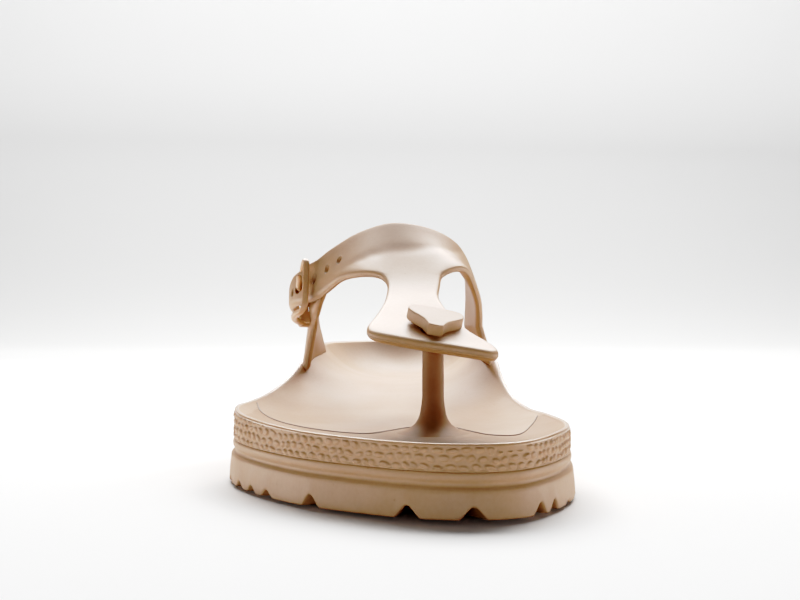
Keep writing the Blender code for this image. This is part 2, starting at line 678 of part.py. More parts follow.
def box_rings(centre, axes, halves):
    """Two square rings of a box along its first axis."""
    rings = []
    for end in (-1.0, 1.0):
        corners = [(-1, -1), (1, -1), (1, 1), (-1, 1)]
        rings.append(np.array([centre + end * halves[0] * axes[0] + a * halves[1] * axes[1] +
                               b * halves[2] * axes[2] for a, b in corners]))
    return rings


def make_buckle_frame(material):
    """Rounded rectangular frame: free bar over the strap, pivot bar on the tab."""
    free, pivot, across, along, outward = buckle_frame_axes()
    centre = (free + pivot) / 2.0 + FRAME_SHIFT * across
    half_across = (WINDOW_LENGTH + BAR_WIDTH) / 2.0
    half_along = np.linalg.norm(pivot - free) / 2.0
    path = []
    for turn, (side, end) in enumerate(((1.0, 1.0), (-1.0, 1.0), (-1.0, -1.0), (1.0, -1.0))):
        arm = half_along - FRAME_CORNER
        for angle in np.linspace(0.0, math.pi / 2.0, 5) + turn * math.pi / 2.0:
            path.append((side * (half_across - FRAME_CORNER) + FRAME_CORNER * math.cos(angle),
                         end * arm + FRAME_CORNER * math.sin(angle), math.cos(angle), math.sin(angle)))
        if side != end:
            path += [(side * half_across, end * share * arm, side, 0.0) for share in (0.5, 0.0, -0.5)]
    section = [(0.5, 0.2), (0.2, 0.5), (-0.2, 0.5), (-0.5, 0.2),
               (-0.5, -0.2), (-0.2, -0.5), (0.2, -0.5), (0.5, -0.2)]
    rings = []
    for a, b, da, db in path:
        spot = centre + a * across + b * along + FRAME_BOW * (1.0 - (b / half_along) ** 2) * outward
        away = da * across + db * along
        rings.append(np.array([spot + u * BAR_WIDTH * away + v * BAR_HEIGHT * outward for u, v in section]))
    rings.append(rings[0])
    frame = make_object("buckle_frame", *loft(rings))
    finish(frame, material)
    return frame


def prong_path():
    """From the saddle under the strap, up through its hole, to rest on the free bar."""
    free, pivot, across, along, outward = buckle_frame_axes()
    width = np.linalg.norm(pivot - free)
    rest = BAR_HEIGHT / 2.0 + FIT_GAP + PRONG_RADIUS
    steps = ((width, 0.2), (width - 3.4, -0.8), (width - 6.4, 0.0), (width * 0.4, 2.4),
             (3.0, rest), (-PRONG_OVERHANG, rest))
    return [free + distance * along + height * outward for distance, height in steps]


def make_prong_hole():
    path = prong_path()
    middle = (path[2] + path[3]) / 2.0
    direction = (path[3] - path[2]) / np.linalg.norm(path[3] - path[2])
    half = 2.0 * STRAP_THICKNESS * direction
    return make_object("prong_hole", *loft(rod([middle - half, middle, middle + half], PRONG_HOLE_RADIUS),
                                           close_ends=True))


def make_buckle_prong(material):
    """Prong with a saddle that straddles the pivot bar."""
    free, pivot, across, along, outward = buckle_frame_axes()
    prong = make_object("buckle_prong", *loft(rod(prong_path(), PRONG_RADIUS), close_ends=True))
    axes = (across, along, outward)
    slot = np.array((2.0 * SADDLE_HALF, BAR_WIDTH / 2.0 + FIT_GAP, BAR_HEIGHT / 2.0 + FIT_GAP))
    body = np.array((SADDLE_HALF, slot[1] + SADDLE_WALL, slot[2]))
    saddle = make_object("prong_saddle", *loft(box_rings(pivot + SADDLE_WALL * outward, axes, body),
                                               close_ends=True))
    bar_slot = make_object("saddle_slot", *loft(box_rings(pivot - SADDLE_WALL * outward, axes,
                                                          slot + (0.0, 0.0, SADDLE_WALL)), close_ends=True))
    add_boolean(prong, saddle, "UNION")
    add_boolean(prong, bar_slot, "DIFFERENCE")
    finish(prong, material)
    return prong


def make_lateral_tab(material):
    """Tab rising from the sole, with two keepers that hold the buckle's pivot bar."""
    free, pivot, across, along, outward = buckle_frame_axes()
    tab = make_strap_sheet("lateral_tab", *tab_grid(), 0.0, TAB_THICKNESS)
    round_edges(tab, STRAP_EDGE)
    top = BAR_HEIGHT / 2.0 + FIT_GAP + KEEPER_WALL
    foot = -BAR_HEIGHT / 2.0 - PIVOT_BAR_LIFT + TAB_THICKNESS / 2.0
    for place, name in zip(KEEPER_PLACES, ("keeper_front", "keeper_rear")):
        middle = pivot + place * across + (top + foot) / 2.0 * outward
        block = box_rings(middle, (across, along, outward),
                          (KEEPER_WIDTH / 2.0, BAR_WIDTH / 2.0 + FIT_GAP + KEEPER_WALL, (top - foot) / 2.0))
        add_boolean(tab, make_object(name, *loft(block, close_ends=True)), "UNION")
    channel = box_rings(pivot, (across, along, outward),
                        (WINDOW_LENGTH, BAR_WIDTH / 2.0 + FIT_GAP, BAR_HEIGHT / 2.0 + FIT_GAP))
    add_boolean(tab, make_object("pivot_channel", *loft(channel, close_ends=True)), "DIFFERENCE")
    finish(tab, material)
    return tab


def main():
    for old in list(bpy.data.objects):
        bpy.data.objects.remove(old, do_unlink=True)
    root = bpy.data.objects.new("sandal", None)
    bpy.context.scene.collection.objects.link(root)
    footbed_foam = foam("footbed_foam", FOAM_COLOUR, 0.55)
    sole_foam = foam("sole_foam", FOAM_COLOUR, 0.6)
    strap_foam = foam("strap_foam", FOAM_COLOUR, 0.5)
    buckle_plastic = foam("buckle_plastic", BUCKLE_COLOUR, 0.45)
    make_outsole(sole_foam)
    make_footbed(footbed_foam)
    make_upper(strap_foam)
    make_lateral_tab(strap_foam)
    make_buckle_frame(buckle_plastic)
    make_buckle_prong(buckle_plastic)


main()
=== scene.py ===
# %% [markdown]
# # A toe post sandal in moulded foam
# This lesson dresses a imported model of one right-foot sandal: a lugged tread unit, a
# footbed with a pebbled side band and a toe post, a T-shaped strap and a small buckle.
# The whole shoe is one colour of soft, pinkish beige foam, so its look comes from shape,
# from the way light sinks into foam, from small marks that the mould leaves behind, and
# from shade and light painted into the colour of a few parts.

import math

import bmesh
import bpy
import numpy as np
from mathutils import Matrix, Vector

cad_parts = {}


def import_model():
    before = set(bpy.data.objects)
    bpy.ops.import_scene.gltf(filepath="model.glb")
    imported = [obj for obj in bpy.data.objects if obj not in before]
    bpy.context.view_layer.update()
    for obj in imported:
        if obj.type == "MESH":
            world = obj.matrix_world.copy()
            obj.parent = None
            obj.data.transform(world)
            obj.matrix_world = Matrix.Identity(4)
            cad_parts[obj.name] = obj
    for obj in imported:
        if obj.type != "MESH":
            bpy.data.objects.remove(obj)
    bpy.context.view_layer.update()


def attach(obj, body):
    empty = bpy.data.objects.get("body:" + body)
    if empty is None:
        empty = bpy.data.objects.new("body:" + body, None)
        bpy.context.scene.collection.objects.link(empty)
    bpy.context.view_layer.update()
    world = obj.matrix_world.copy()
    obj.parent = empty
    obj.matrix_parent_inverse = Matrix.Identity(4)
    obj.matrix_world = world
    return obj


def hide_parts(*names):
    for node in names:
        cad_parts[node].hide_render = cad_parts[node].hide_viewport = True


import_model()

# %% [markdown]
# ## The shoe's own sizes
# A shoemaker works with stations along the foot, from the toe tip (0) to the heel, and
# with heights over the floor, all in millimetres. The tables below are the same ones that
# the solids were made from. A table is read between its rows with a Hermite curve, which
# passes through every row and has no kinks, so the same few numbers can give a coarse
# solid or a fine surface.

# %% Tables of the sole and the straps
LENGTH = 252.0
SPINE_FRONT, SPINE_REAR = 45.0, 212.0
STRAP_THICKNESS, TAB_THICKNESS = 3.4, 3.0
FIT_GAP = 0.3


class Table:
    """Rows of named columns, read between the rows by a smooth Hermite curve."""

    def __init__(self, columns, rows, key=np.asarray):
        data = np.array(rows, float)
        self.columns = columns.split()[1:]
        self.key = key
        self.knots = key(data[:, 0])
        self.values = data[:, 1:]
        self.slopes = np.gradient(self.values, self.knots, axis=0)

    def row(self, at):
        at = self.key(np.asarray(at, float))
        low = np.clip(np.searchsorted(self.knots, at) - 1, 0, len(self.knots) - 2)
        step = self.knots[low + 1] - self.knots[low]
        t = np.clip((at - self.knots[low]) / step, 0.0, 1.0)[..., None]
        step = step[..., None]
        ends = (2 * t**3 - 3 * t**2 + 1) * self.values[low] + (3 * t**2 - 2 * t**3) * self.values[low + 1]
        bends = (t**3 - 2 * t**2 + t) * self.slopes[low] + (t**3 - t**2) * self.slopes[low + 1]
        return ends + step * bends

    def get(self, column, at):
        return self.row(at)[..., self.columns.index(column)]


def along_outline(station):
    return np.arccos(np.clip(1.0 - 2.0 * station / LENGTH, -1.0, 1.0))


SOLE = Table("station lateral medial rim_lateral rim_medial floor cup_lateral cup_medial", [
    (0, 17.0, 17.0, 18.4, 18.4, 14.5, 8.0, 8.0),
    (5, 0.8, 29.3, 18.4, 18.4, 14.3, 8.0, 8.0),
    (14, -11.0, 35.8, 18.5, 18.6, 14.2, 8.0, 8.0),
    (28, -25.6, 42.0, 18.9, 19.0, 14.4, 7.0, 7.0),
    (38, -32.8, 45.0, 19.3, 19.0, 14.8, 6.5, 6.5),
    (50, -39.8, 46.8, 19.8, 18.9, 15.2, 6.0, 6.0),
    (68, -47.2, 47.6, 20.6, 18.6, 15.5, 5.0, 5.0),
    (88, -50.2, 45.4, 21.3, 18.8, 15.6, 4.5, 4.5),
    (108, -48.6, 41.2, 21.3, 19.4, 16.4, 4.2, 4.0),
    (122, -45.7, 38.0, 22.3, 22.0, 17.6, 4.0, 3.2),
    (135, -42.3, 35.7, 24.5, 27.0, 19.4, 3.6, 2.8),
    (147, -38.9, 34.4, 27.8, 33.0, 21.4, 3.4, 2.5),
    (160, -35.3, 33.2, 33.0, 36.8, 23.2, 3.2, 2.4),
    (180, -32.7, 31.6, 36.3, 38.3, 24.3, 3.0, 2.6),
    (205, -31.5, 30.6, 37.5, 38.0, 24.3, 3.0, 3.0),
    (225, -28.2, 27.6, 37.8, 37.8, 24.2, 3.0, 3.0),
    (240, -20.5, 20.3, 37.8, 37.8, 24.2, 3.0, 3.0),
    (252, -0.5, -0.5, 37.8, 37.8, 24.3, 3.0, 3.0)], key=along_outline)

LAST = Table("station centre half_lateral half_medial base crown full_lateral full_medial "
             "skirt_lateral skirt_medial", [
    (45, 2.0, 40.0, 43.0, 15.0, 36.0, 2.2, 2.2, 0.2, 0.0),
    (60, 2.0, 40.0, 42.0, 16.0, 41.0, 2.2, 2.2, 0.2, 0.0),
    (80, 1.5, 34.0, 38.0, 22.0, 48.2, 2.1, 2.4, 0.2, 0.0),
    (100, 0.5, 28.0, 33.0, 29.0, 56.6, 2.0, 2.8, 0.2, 0.0),
    (113, -0.5, 24.5, 30.0, 35.0, 64.2, 1.85, 2.9, 0.2, 0.1),
    (127, -1.2, 23.2, 28.0, 42.0, 73.6, 1.8, 1.95, 0.2, 0.25),
    (143, -2.0, 24.2, 27.2, 45.0, 84.0, 1.9, 2.0, 0.2, 0.3),
    (158, -2.0, 28.2, 25.6, 45.0, 92.5, 1.95, 2.1, 0.15, 0.35),
    (175, -2.0, 28.6, 24.2, 45.0, 100.0, 2.0, 2.2, -0.1, 0.35),
    (195, -2.0, 27.4, 23.0, 45.0, 107.0, 2.1, 2.3, -0.2, 0.35)])

BAND = Table("reach girth_front station_front lift_front girth_rear station_rear lift_rear", [
    (-62, -57.9, 163.0, 4.9, -57.0, 163.6, 5.0),
    (-60.5, -58.6, 162.0, 5.0, -55.8, 163.7, 5.3),
    (-57, -57.2, 160.0, 6.0, -54.0, 162.2, 6.6),
    (-52, -54.0, 156.2, 7.2, -49.9, 159.5, 7.8),
    (-47, -49.5, 151.3, 6.9, -44.7, 156.1, 7.4),
    (-41, -44.3, 144.9, 5.5, -40.2, 151.6, 6.0),
    (-38, -41.1, 140.7, 4.3, -36.5, 149.3, 4.9),
    (-34, -36.7, 135.9, 2.2, -30.6, 147.3, 3.5),
    (-27, -28.2, 128.6, 0.2, -23.5, 142.9, 1.8),
    (-20, -20.4, 121.8, 0.0, -18.3, 140.3, 0.6),
    (-14, -14.5, 115.0, 0.0, -13.5, 138.1, 0.1),
    (-10, -9.8, 110.6, 0.0, -10.5, 136.4, 0.0),
    (-6, -6.0, 105.5, 0.0, -7.0, 134.9, 0.0),
    (0, 0.0, 102.5, 0.0, 0.0, 133.8, 0.0),
    (6.5, 6.5, 103.0, 0.0, 7.5, 135.0, 0.0),
    (13, 13.0, 105.5, 0.0, 16.0, 138.5, 0.0),
    (19, 20.5, 116.0, 0.0, 24.5, 143.5, 0.0),
    (25, 28.0, 124.0, 0.0, 33.0, 150.0, 0.0),
    (34, 37.0, 131.5, 0.0, 45.0, 158.5, 0.0),
    (44, 46.0, 137.5, 0.0, 58.0, 166.0, 0.0),
    (56, 55.5, 140.0, 0.0, 70.0, 170.5, 0.0),
    (66, 66.0, 140.5, 0.0, 81.0, 172.0, 0.0)])
THROAT = (-6.0, 13.0)

TOE_STRAP = Table("along girth_left station_left girth_right station_right bow", [
    (0.0, -6.0, 105.5, 13.0, 105.5, 0.0),
    (0.12, -4.4, 100.0, 12.1, 100.5, 0.0),
    (0.25, -4.8, 94.0, 11.0, 94.5, 0.0),
    (0.40, -6.0, 86.0, 11.1, 87.5, 0.2),
    (0.55, -8.0, 78.5, 13.4, 77.5, 0.8),
    (0.70, -9.7, 73.0, 17.5, 67.3, 2.0),
    (0.82, -10.9, 69.5, 21.8, 62.3, 4.2),
    (0.92, -11.3, 67.3, 24.8, 59.3, 6.8),
    (1.0, -11.3, 65.5, 25.4, 56.0, 9.2)])

TAB = Table("drop girth_front station_front girth_rear station_rear", [
    (0, -37.5, 143.5, -34.0, 149.5),
    (7, -44.0, 148.0, -38.5, 156.5),
    (14, -50.5, 151.0, -44.5, 163.5),
    (21, -57.0, 152.8, -53.0, 171.0),
    (27, -62.5, 153.2, -63.0, 178.5),
    (33, -67.5, 153.3, -75.0, 186.0),
    (39, -74.0, 153.3, -83.5, 189.0)])
print("tables:", len(SOLE.knots), "sole rows,", len(LAST.knots), "last rows,", len(BAND.knots), "band rows")

# %% [markdown]
# ## From shoe sizes to meshes
# Shoe points become world points by one shift and one change of unit: the origin lies in
# the middle of the sole's outline and the toe looks towards -Y. Most pieces here are rings
# of points that are lofted: each ring is joined to the next by a strip of quads. Points
# that fall together, such as along the middle line of the sole, are merged afterwards.

# %% Mesh helpers
MM = 0.001


def world(points):
    return (np.asarray(points, float) - (X_MIDDLE, LENGTH / 2.0, 0.0)) * MM


def strip_faces(rings, count, closed=True):
    """Quads between rings of equal length, as one array of corner numbers."""
    here = np.arange(count if closed else count - 1)
    ahead = (here + 1) % count
    level = np.arange(rings - 1)[:, None] * count
    quads = np.stack([level + here, level + ahead, level + count + ahead, level + count + here], axis=-1)
    return quads.reshape(-1, 4)


def capped_faces(rings, count):
    """The strips of a lofted rod, with a face over each end."""
    faces = strip_faces(rings, count).tolist()
    return faces + [range(count), range((rings - 1) * count, rings * count)]


def full_turn(count):
    """Angles of even steps round a circle."""
    return np.linspace(0.0, 2.0 * math.pi, count, endpoint=False)


def add_object(name, data):
    """A new object of the scene, for a mesh, a light or a camera."""
    made = bpy.data.objects.new(name, data)
    bpy.context.scene.collection.objects.link(made)
    return made


def new_piece(name, points, faces, layers=None):
    """A mesh object at the origin, doubles merged, faces outwards, with named point values."""
    mesh = bpy.data.meshes.new(name)
    mesh.from_pydata(world(points).tolist(), [], [tuple(f) for f in faces])
    for layer, values in (layers or {}).items():
        attribute = mesh.attributes.new(layer, "FLOAT", "POINT")
        attribute.data.foreach_set("value", np.asarray(values, np.float32))
    shape = bmesh.new()
    shape.from_mesh(mesh)
    bmesh.ops.remove_doubles(shape, verts=shape.verts, dist=0.00001)
    bmesh.ops.recalc_face_normals(shape, faces=shape.faces)
    shape.to_mesh(mesh)
    shape.free()
    mesh.shade_smooth()
    return add_object(name, mesh)


def settle(piece):
    """Turns a piece and its modifiers into a plain mesh."""
    bpy.context.view_layer.update()
    graph = bpy.context.evaluated_depsgraph_get()
    mesh = bpy.data.meshes.new_from_object(piece.evaluated_get(graph), preserve_all_data_layers=True,
                                           depsgraph=graph)
    piece.modifiers.clear()
    piece.data = mesh
    mesh.name = piece.name
    mesh.shade_smooth()
    return piece


def crisp(piece, angle):
    """Keeps edges sharp where faces meet at more than an angle in degrees."""
    piece.data.set_sharp_from_angle(angle=math.radians(angle))


def dress(piece, material, slot, *nodes):
    """Gives a finished piece its look, its body and its CAD node; the slot is not used."""
    piece.data.materials.clear()
    piece.data.materials.append(material)
    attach(piece, "root")
    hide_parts(*nodes)
    print(piece.name, "has", sum(len(p.vertices) - 2 for p in piece.data.polygons), "triangles")


def soft_step(low, high, value):
    t = np.clip((value - low) / (high - low), 0.0, 1.0)
    return t * t * (3.0 - 2.0 * t)


# %% [markdown]
# ## The outline
# Both sides of the sole share their stations, so that every ring can close up along the
# middle line under and over the sole. The stations are spaced for even steps along the
# edge. The ring starts at the heel, where a moulded sole has its own seam. Each piece
# walks round the same outline with as many steps as its detail needs.

# %% Walk round the sole
TREAD_FLARE = 1.5


def edge_stations(steps):
    """Stations that cut the mean of both edges into equal lengths."""
    fine = LENGTH / 2.0 * (1.0 - np.cos(np.linspace(0.0, math.pi, 3000)))
    run = sum(np.hypot(np.diff(SOLE.get(side, fine)), np.diff(fine)) for side in ("lateral", "medial"))
    length = np.concatenate([[0.0], np.cumsum(run)])
    return np.interp(np.linspace(0.0, length[-1], steps + 1), length, fine)


class Outline:
    """Even steps round the sole: from the heel, up the medial side and down the lateral side."""

    def __init__(self, steps):
        stations = edge_stations(steps)
        self.station = np.concatenate([stations[::-1], stations[1:-1]])
        self.count = len(self.station)
        self.medial = np.arange(self.count) <= steps
        self.plan = np.column_stack([self.both("lateral", "medial"), self.station])
        run = np.roll(self.plan, -1, axis=0) - np.roll(self.plan, 1, axis=0)
        self.outward = np.column_stack([-run[:, 1], run[:, 0]]) / np.linalg.norm(run, axis=1)[:, None]
        inner = np.clip(self.station, SPINE_FRONT, SPINE_REAR)
        middle = (SOLE.get("lateral", inner) + SOLE.get("medial", inner)) / 2.0
        self.spine = np.column_stack([middle, inner])

    def both(self, lateral, medial):
        """Values of the medial column up to the toe, and of the lateral column behind it."""
        return np.where(self.medial, SOLE.get(medial, self.station), SOLE.get(lateral, self.station))

    def moved(self, offset):
        return self.plan + offset * self.outward

    def ring(self, offset, height):
        """A ring moved outwards by an offset, at a height."""
        return np.column_stack([self.moved(offset), np.broadcast_to(height, self.count)])

    def towards_spine(self, edge, share):
        """The plan of an edge ring, shrunk towards the sole's middle line."""
        return self.spine + share * (edge[:, :2] - self.spine)

    def inner_ring(self, edge, share, height):
        """An edge ring shrunk towards the middle line, at a height that goes by the station."""
        plan = self.towards_spine(edge, share)
        return np.column_stack([plan, height(plan[:, 1])])

    def arc(self, offset=0.0):
        """Length along the ring at every step, and all the way round."""
        plan = self.moved(offset)
        steps = np.linalg.norm(np.roll(plan, -1, axis=0) - plan, axis=1)
        return np.concatenate([[0.0], np.cumsum(steps[:-1])]), steps.sum()


sole = Outline(600)
flared = sole.moved(TREAD_FLARE)
X_MIDDLE = (flared[:, 0].min() + flared[:, 0].max()) / 2.0
print("edge length in mm", round(sole.arc()[1]), "middle at x", round(X_MIDDLE, 3))

# %% [markdown]
# ## One wrapper for node sums
# Shader and geometry node trees are easier to read as sums. `Wire` stands for one output
# socket, and adding or multiplying wires adds Math nodes behind the scenes. Every other
# node comes from `Bench.node`, which sets the node's own options first and then plugs in
# values or wires.

# %% Bench and Wire
class Wire:
    """An output socket that Python's operators can calculate with."""

    def __init__(self, bench, socket):
        self.bench, self.socket = bench, socket

    def sum(self, operation, *values):
        return self.bench.node("ShaderNodeMath", {"operation": operation}, dict(enumerate(values)))

    def __add__(self, other):
        return self.sum("ADD", self, other)

    def __sub__(self, other):
        return self.sum("SUBTRACT", self, other)

    def __rsub__(self, other):
        return self.sum("SUBTRACT", other, self)

    def __mul__(self, other):
        return self.sum("MULTIPLY", self, other)

    def __truediv__(self, other):
        return self.sum("DIVIDE", self, other)

    def __pow__(self, other):
        return self.sum("POWER", self, other)

    __radd__, __rmul__ = __add__, __mul__

    def least(self, other):
        return self.sum("MINIMUM", self, other)

    def size(self):
        return self.sum("ABSOLUTE", self)

    def floor(self):
        return self.sum("FLOOR", self)

    def part(self):
        return self.sum("FRACT", self)

    def step(self, low, high):
        """0 below low, 1 above high and a soft change between."""
        return self.bench.node("ShaderNodeMapRange", {"interpolation_type": "SMOOTHSTEP"},
                               {"Value": self, "From Min": low, "From Max": high})


class Bench:
    """A node tree with one way to add any node."""

    def __init__(self, tree):
        self.tree = tree

    def node(self, kind, settings=None, sockets=None, out=0):
        made = self.tree.nodes.new(kind)
        for name, value in (settings or {}).items():
            setattr(made, name, value)
        for name, value in (sockets or {}).items():
            if isinstance(value, Wire):
                self.tree.links.new(value.socket, made.inputs[name])
            else:
                made.inputs[name].default_value = value
        return Wire(self, made.outputs[out]) if len(made.outputs) else made

    def mix(self, share, first, second):
        """A colour between two colours."""
        return self.node("ShaderNodeMix", {"data_type": "RGBA"}, {0: share, 6: first, 7: second}, out=2)

    def noise(self, place, scale, detail=2.0, roughness=0.5):
        return self.node("ShaderNodeTexNoise", None, {"Vector": place, "Scale": scale, "Detail": detail,
                                                      "Roughness": roughness})

    def axis(self, place, number):
        """One part of a place, in mm."""
        return self.node("ShaderNodeSeparateXYZ", None, {0: place}, out=number) * 1000.0

    def layer(self, name):
        """A value that a piece carries at its points, for its material."""
        return self.node("ShaderNodeAttribute", {"attribute_name": name}, None, out="Fac")


# %% [markdown]
# ## The foam
# The shoe is blown foam with a closed skin. Three things make it look like foam and not
# like paint: light sinks a little way in and comes back warmer, the skin is faintly
# mottled, and it has a very fine grain with a few pores that catches light softly. The
# colour is a pinkish beige. Marks of the mould and of wear, and shade painted into the
# colour, come as extra wires: each piece hands over how high its marks stand, how much its
# marks and its painted shade deepen the tone and how much smoother they are than the skin
# around them. A shade factor scales the whole colour: below 1 it paints shade, above 1 it
# paints light.

# %% Foam material
FOAM_LIGHT = (0.480, 0.300, 0.178)
FOAM_DEEP = (0.400, 0.234, 0.124)
MARK_AND_SHADE_TONE = (0.140, 0.055, 0.020, 1.0)


def start_material(name):
    material = bpy.data.materials.new(name)
    material.use_nodes = True
    material.node_tree.nodes.clear()
    return material, Bench(material.node_tree)


def foam(name, roughness, grain, marks=None, shade=1.0):
    """Foam with a grain; marks(bench, place) gives a height in metres, a share of dark tone from marks and
    from painted shade, and a polish; shade below 1 paints shade and above 1 paints light.
    """
    material, bench = start_material(name)
    place = bench.node("ShaderNodeTexCoord", None, None, out="Object")
    cloud = bench.noise(place, 45.0, 3.0)
    speckle = bench.noise(place, 900.0, 2.0, 0.6)
    pores = bench.node("ShaderNodeTexVoronoi", None, {"Vector": place, "Scale": 520.0, "Randomness": 1.0})
    pit = (1.0 - pores.step(0.05, 0.22)) * bench.noise(place, 160.0).step(0.52, 0.66)
    depth = (cloud.step(0.35, 0.68) * 0.35 + speckle.step(0.3, 0.75) * 0.2 + pit * 0.5).least(1.0)
    light, deep = ([shade * part for part in tone] + [1.0] for tone in (FOAM_LIGHT, FOAM_DEEP))
    colour = bench.mix(depth, light, deep)
    height = speckle * (grain * 0.6) + bench.noise(place, 300.0) * grain - pit * grain
    rough = roughness + (cloud - 0.5) * 0.16 + pit * 0.1
    if marks is not None:
        mark_height, mark_and_shade_tone, polish = marks(bench, place)
        height, rough = height + mark_height, rough - polish
        # The dark tone is shared: real mould marks and dust, and painted shade in recesses and on shaded
        # faces.
        colour = bench.mix(mark_and_shade_tone, colour, MARK_AND_SHADE_TONE)
    bump = bench.node("ShaderNodeBump", None, {"Strength": 1.0, "Distance": 1.0, "Height": height})
    shader = bench.node("ShaderNodeBsdfPrincipled", None, {
        "Base Color": colour, "Roughness": rough, "Normal": bump, "IOR": 1.42,
        "Coat Weight": 0.05, "Coat Roughness": 0.3, "Subsurface Weight": 0.1,
        "Subsurface Radius": (1.0, 0.42, 0.18), "Subsurface Scale": 0.0028})
    bench.node("ShaderNodeOutputMaterial", None, {"Surface": shader})
    return material


# %% [markdown]
# ## The tread unit
# Under the footbed sits a tread unit: a round bead at the top, a soft groove below it and
# a lower band that flares out, cut into lugs by notches from below. A Boolean could cut
# the notches, but the underside is a height over the floor at every point of the plan, so
# the notches are simply added to that height. The bottom edge of the side wall then rises
# over each notch by itself, and the mesh stays clean. The notches are high at the toe and
# lower along the sides. The underside isn't seen in the photograph; it gets shallow
# slanted grooves, as such treads have.

# %% Height of the underside
SPLIT_AT_TOE, SPLIT_RISE = 11.6, 2.0
TOE_SPRING, TOE_SPRING_RUN = 0.4, 28.0
HEEL_ROLL, HEEL_ROLL_RUN = 0.8, 16.0
ARCH_LIFT, ARCH_FROM, ARCH_RUN = 1.5, 112.0, 64.0
NOTCH_PITCH, NOTCH_HEIGHT = 13.0, 3.0
NOTCH_HALF_FOOT, NOTCH_HALF_TOP = 3.5, 0.5
NOTCH_REACH, NOTCH_TAPER = 13.0, 0.55
NOTCH_FIRST_X = 17.5
NOTCH_BEHIND_LATERAL, NOTCH_BEHIND_MEDIAL = 0.6, 0.26
NOTCH_LOWER_LATERAL, NOTCH_LOWER_MEDIAL, NOTCH_LOWER_RUN = 24.0, 15.0, 14.0
NOTCH_TOE_LATERAL, NOTCH_TOE_MEDIAL = [16.8, 48.7, 70.4, 81.0, 91.5], [20.9, 29.5]
GROOVE_PITCH, GROOVE_DEPTH, GROOVE_SLANT, GROOVE_MARGIN = 8.5, 1.1, 0.55, 3.0


def split_height(station):
    return SPLIT_AT_TOE + SPLIT_RISE * station / LENGTH


def tread_height(station):
    toe = TOE_SPRING * np.clip(1.0 - station / TOE_SPRING_RUN, 0.0, 1.0) ** 2
    heel = HEEL_ROLL * np.clip((station - LENGTH + HEEL_ROLL_RUN) / HEEL_ROLL_RUN, 0.0, 1.0) ** 2
    arch = ARCH_LIFT * np.sin(np.pi * np.clip((station - ARCH_FROM) / ARCH_RUN, 0.0, 1.0)) ** 2
    return toe + heel + arch


tread_arc, tread_whole = sole.arc(TREAD_FLARE)


def notch_places():
    """Where the notches lie along the flared edge."""
    front = sole.medial & (sole.station < 30.0)
    first = tread_arc[np.argmin(np.where(front, abs(flared[:, 0] - NOTCH_FIRST_X), np.inf))]
    places = [first]
    for toe, way in ((NOTCH_TOE_LATERAL, 1.0), (NOTCH_TOE_MEDIAL, -1.0)):
        steps = list(toe)
        while steps[-1] + NOTCH_PITCH < tread_whole / 2.0 - NOTCH_PITCH / 2.0:
            steps.append(steps[-1] + NOTCH_PITCH)
        places += [first + way * step for step in steps]
    return np.array(places) % tread_whole


notches = notch_places()
gap = abs(tread_arc[:, None] - notches[None, :])
notch_distance = np.minimum(gap, tread_whole - gap).min(axis=1)


def notch_lift(inset):
    """How far the underside is raised by the notches, at a distance in from the edge."""
    narrow = 1.0 - (1.0 - NOTCH_TAPER) * np.clip(inset / NOTCH_REACH, 0.0, 1.0)
    slope = (NOTCH_HALF_FOOT - NOTCH_HALF_TOP) * narrow
    rise = np.clip((NOTCH_HALF_FOOT * narrow - notch_distance) / slope, 0.0, 1.0)
    rise = 0.7 * rise + 0.3 * soft_step(0.0, 1.0, rise)
    behind = np.where(sole.medial, NOTCH_BEHIND_MEDIAL, NOTCH_BEHIND_LATERAL)
    start = np.where(sole.medial, NOTCH_LOWER_MEDIAL, NOTCH_LOWER_LATERAL)
    height = NOTCH_HEIGHT * (1.0 - (1.0 - behind) * soft_step(start, start + NOTCH_LOWER_RUN, sole.station))
    return height * rise * soft_step(NOTCH_REACH + 1.0, NOTCH_REACH - 1.0, inset)


def groove_lift(plan, inset):
    """Slanted grooves across the middle of the tread."""
    slant = plan[:, 1] + GROOVE_SLANT * abs(plan[:, 0] - sole.spine[:, 0])
    wave = abs((slant / GROOVE_PITCH) % 1.0 - 0.5)
    inner = NOTCH_REACH + GROOVE_MARGIN
    return GROOVE_DEPTH * soft_step(0.36, 0.44, wave) * soft_step(inner, inner + 1.5, inset)


print(len(notches), "notches along", round(tread_whole), "mm")

# %% Tread unit rings
LIP = ((0.75, 0.0), (1.02, 0.04), (1.25, 0.15), (1.4, 0.34), (1.46, 0.62))
WALL_LEAN = 0.62
BEAD = Table("step offset drop", [
    (0, 0.84, 4.4), (1, 0.45, 3.9), (2, 0.0, 3.45), (3, -0.2, 2.9), (4, -0.05, 2.4),
    (5, 0.3, 1.85), (6, 0.42, 1.15), (7, 0.3, 0.5), (8, 0.02, 0.1), (9, -0.3, 0.0)])
split = split_height(sole.station)
foot = tread_height(sole.station) + notch_lift(np.zeros(sole.count))
bottom_edge = sole.ring(LIP[0][0], foot)
under = []
for share in np.linspace(0.0, 1.0, 37)[:-1]:
    plan = sole.towards_spine(bottom_edge, share)
    inset = np.linalg.norm(bottom_edge[:, :2] - plan, axis=1)
    lift = notch_lift(inset) + groove_lift(plan, inset)
    under.append(np.column_stack([plan, tread_height(plan[:, 1]) + lift]))
lip = [sole.ring(offset, foot + rise) for offset, rise in LIP]
low, high = foot + LIP[-1][1], split - BEAD.values[0][1]
wall = [sole.ring(LIP[-1][0] - WALL_LEAN * t**1.5, low + t * (high - low))
        for t in np.linspace(0.0, 1.0, 8)[1:]]
bead_steps = np.linspace(0.0, BEAD.knots[-1], 28)[1:]
wall += [sole.ring(offset, split - drop) for offset, drop in BEAD.row(bead_steps)]
lid = [sole.inner_ring(wall[-1], share, split_height) for share in (0.7, 0.35, 0.0)]
rings = under + lip + wall + lid
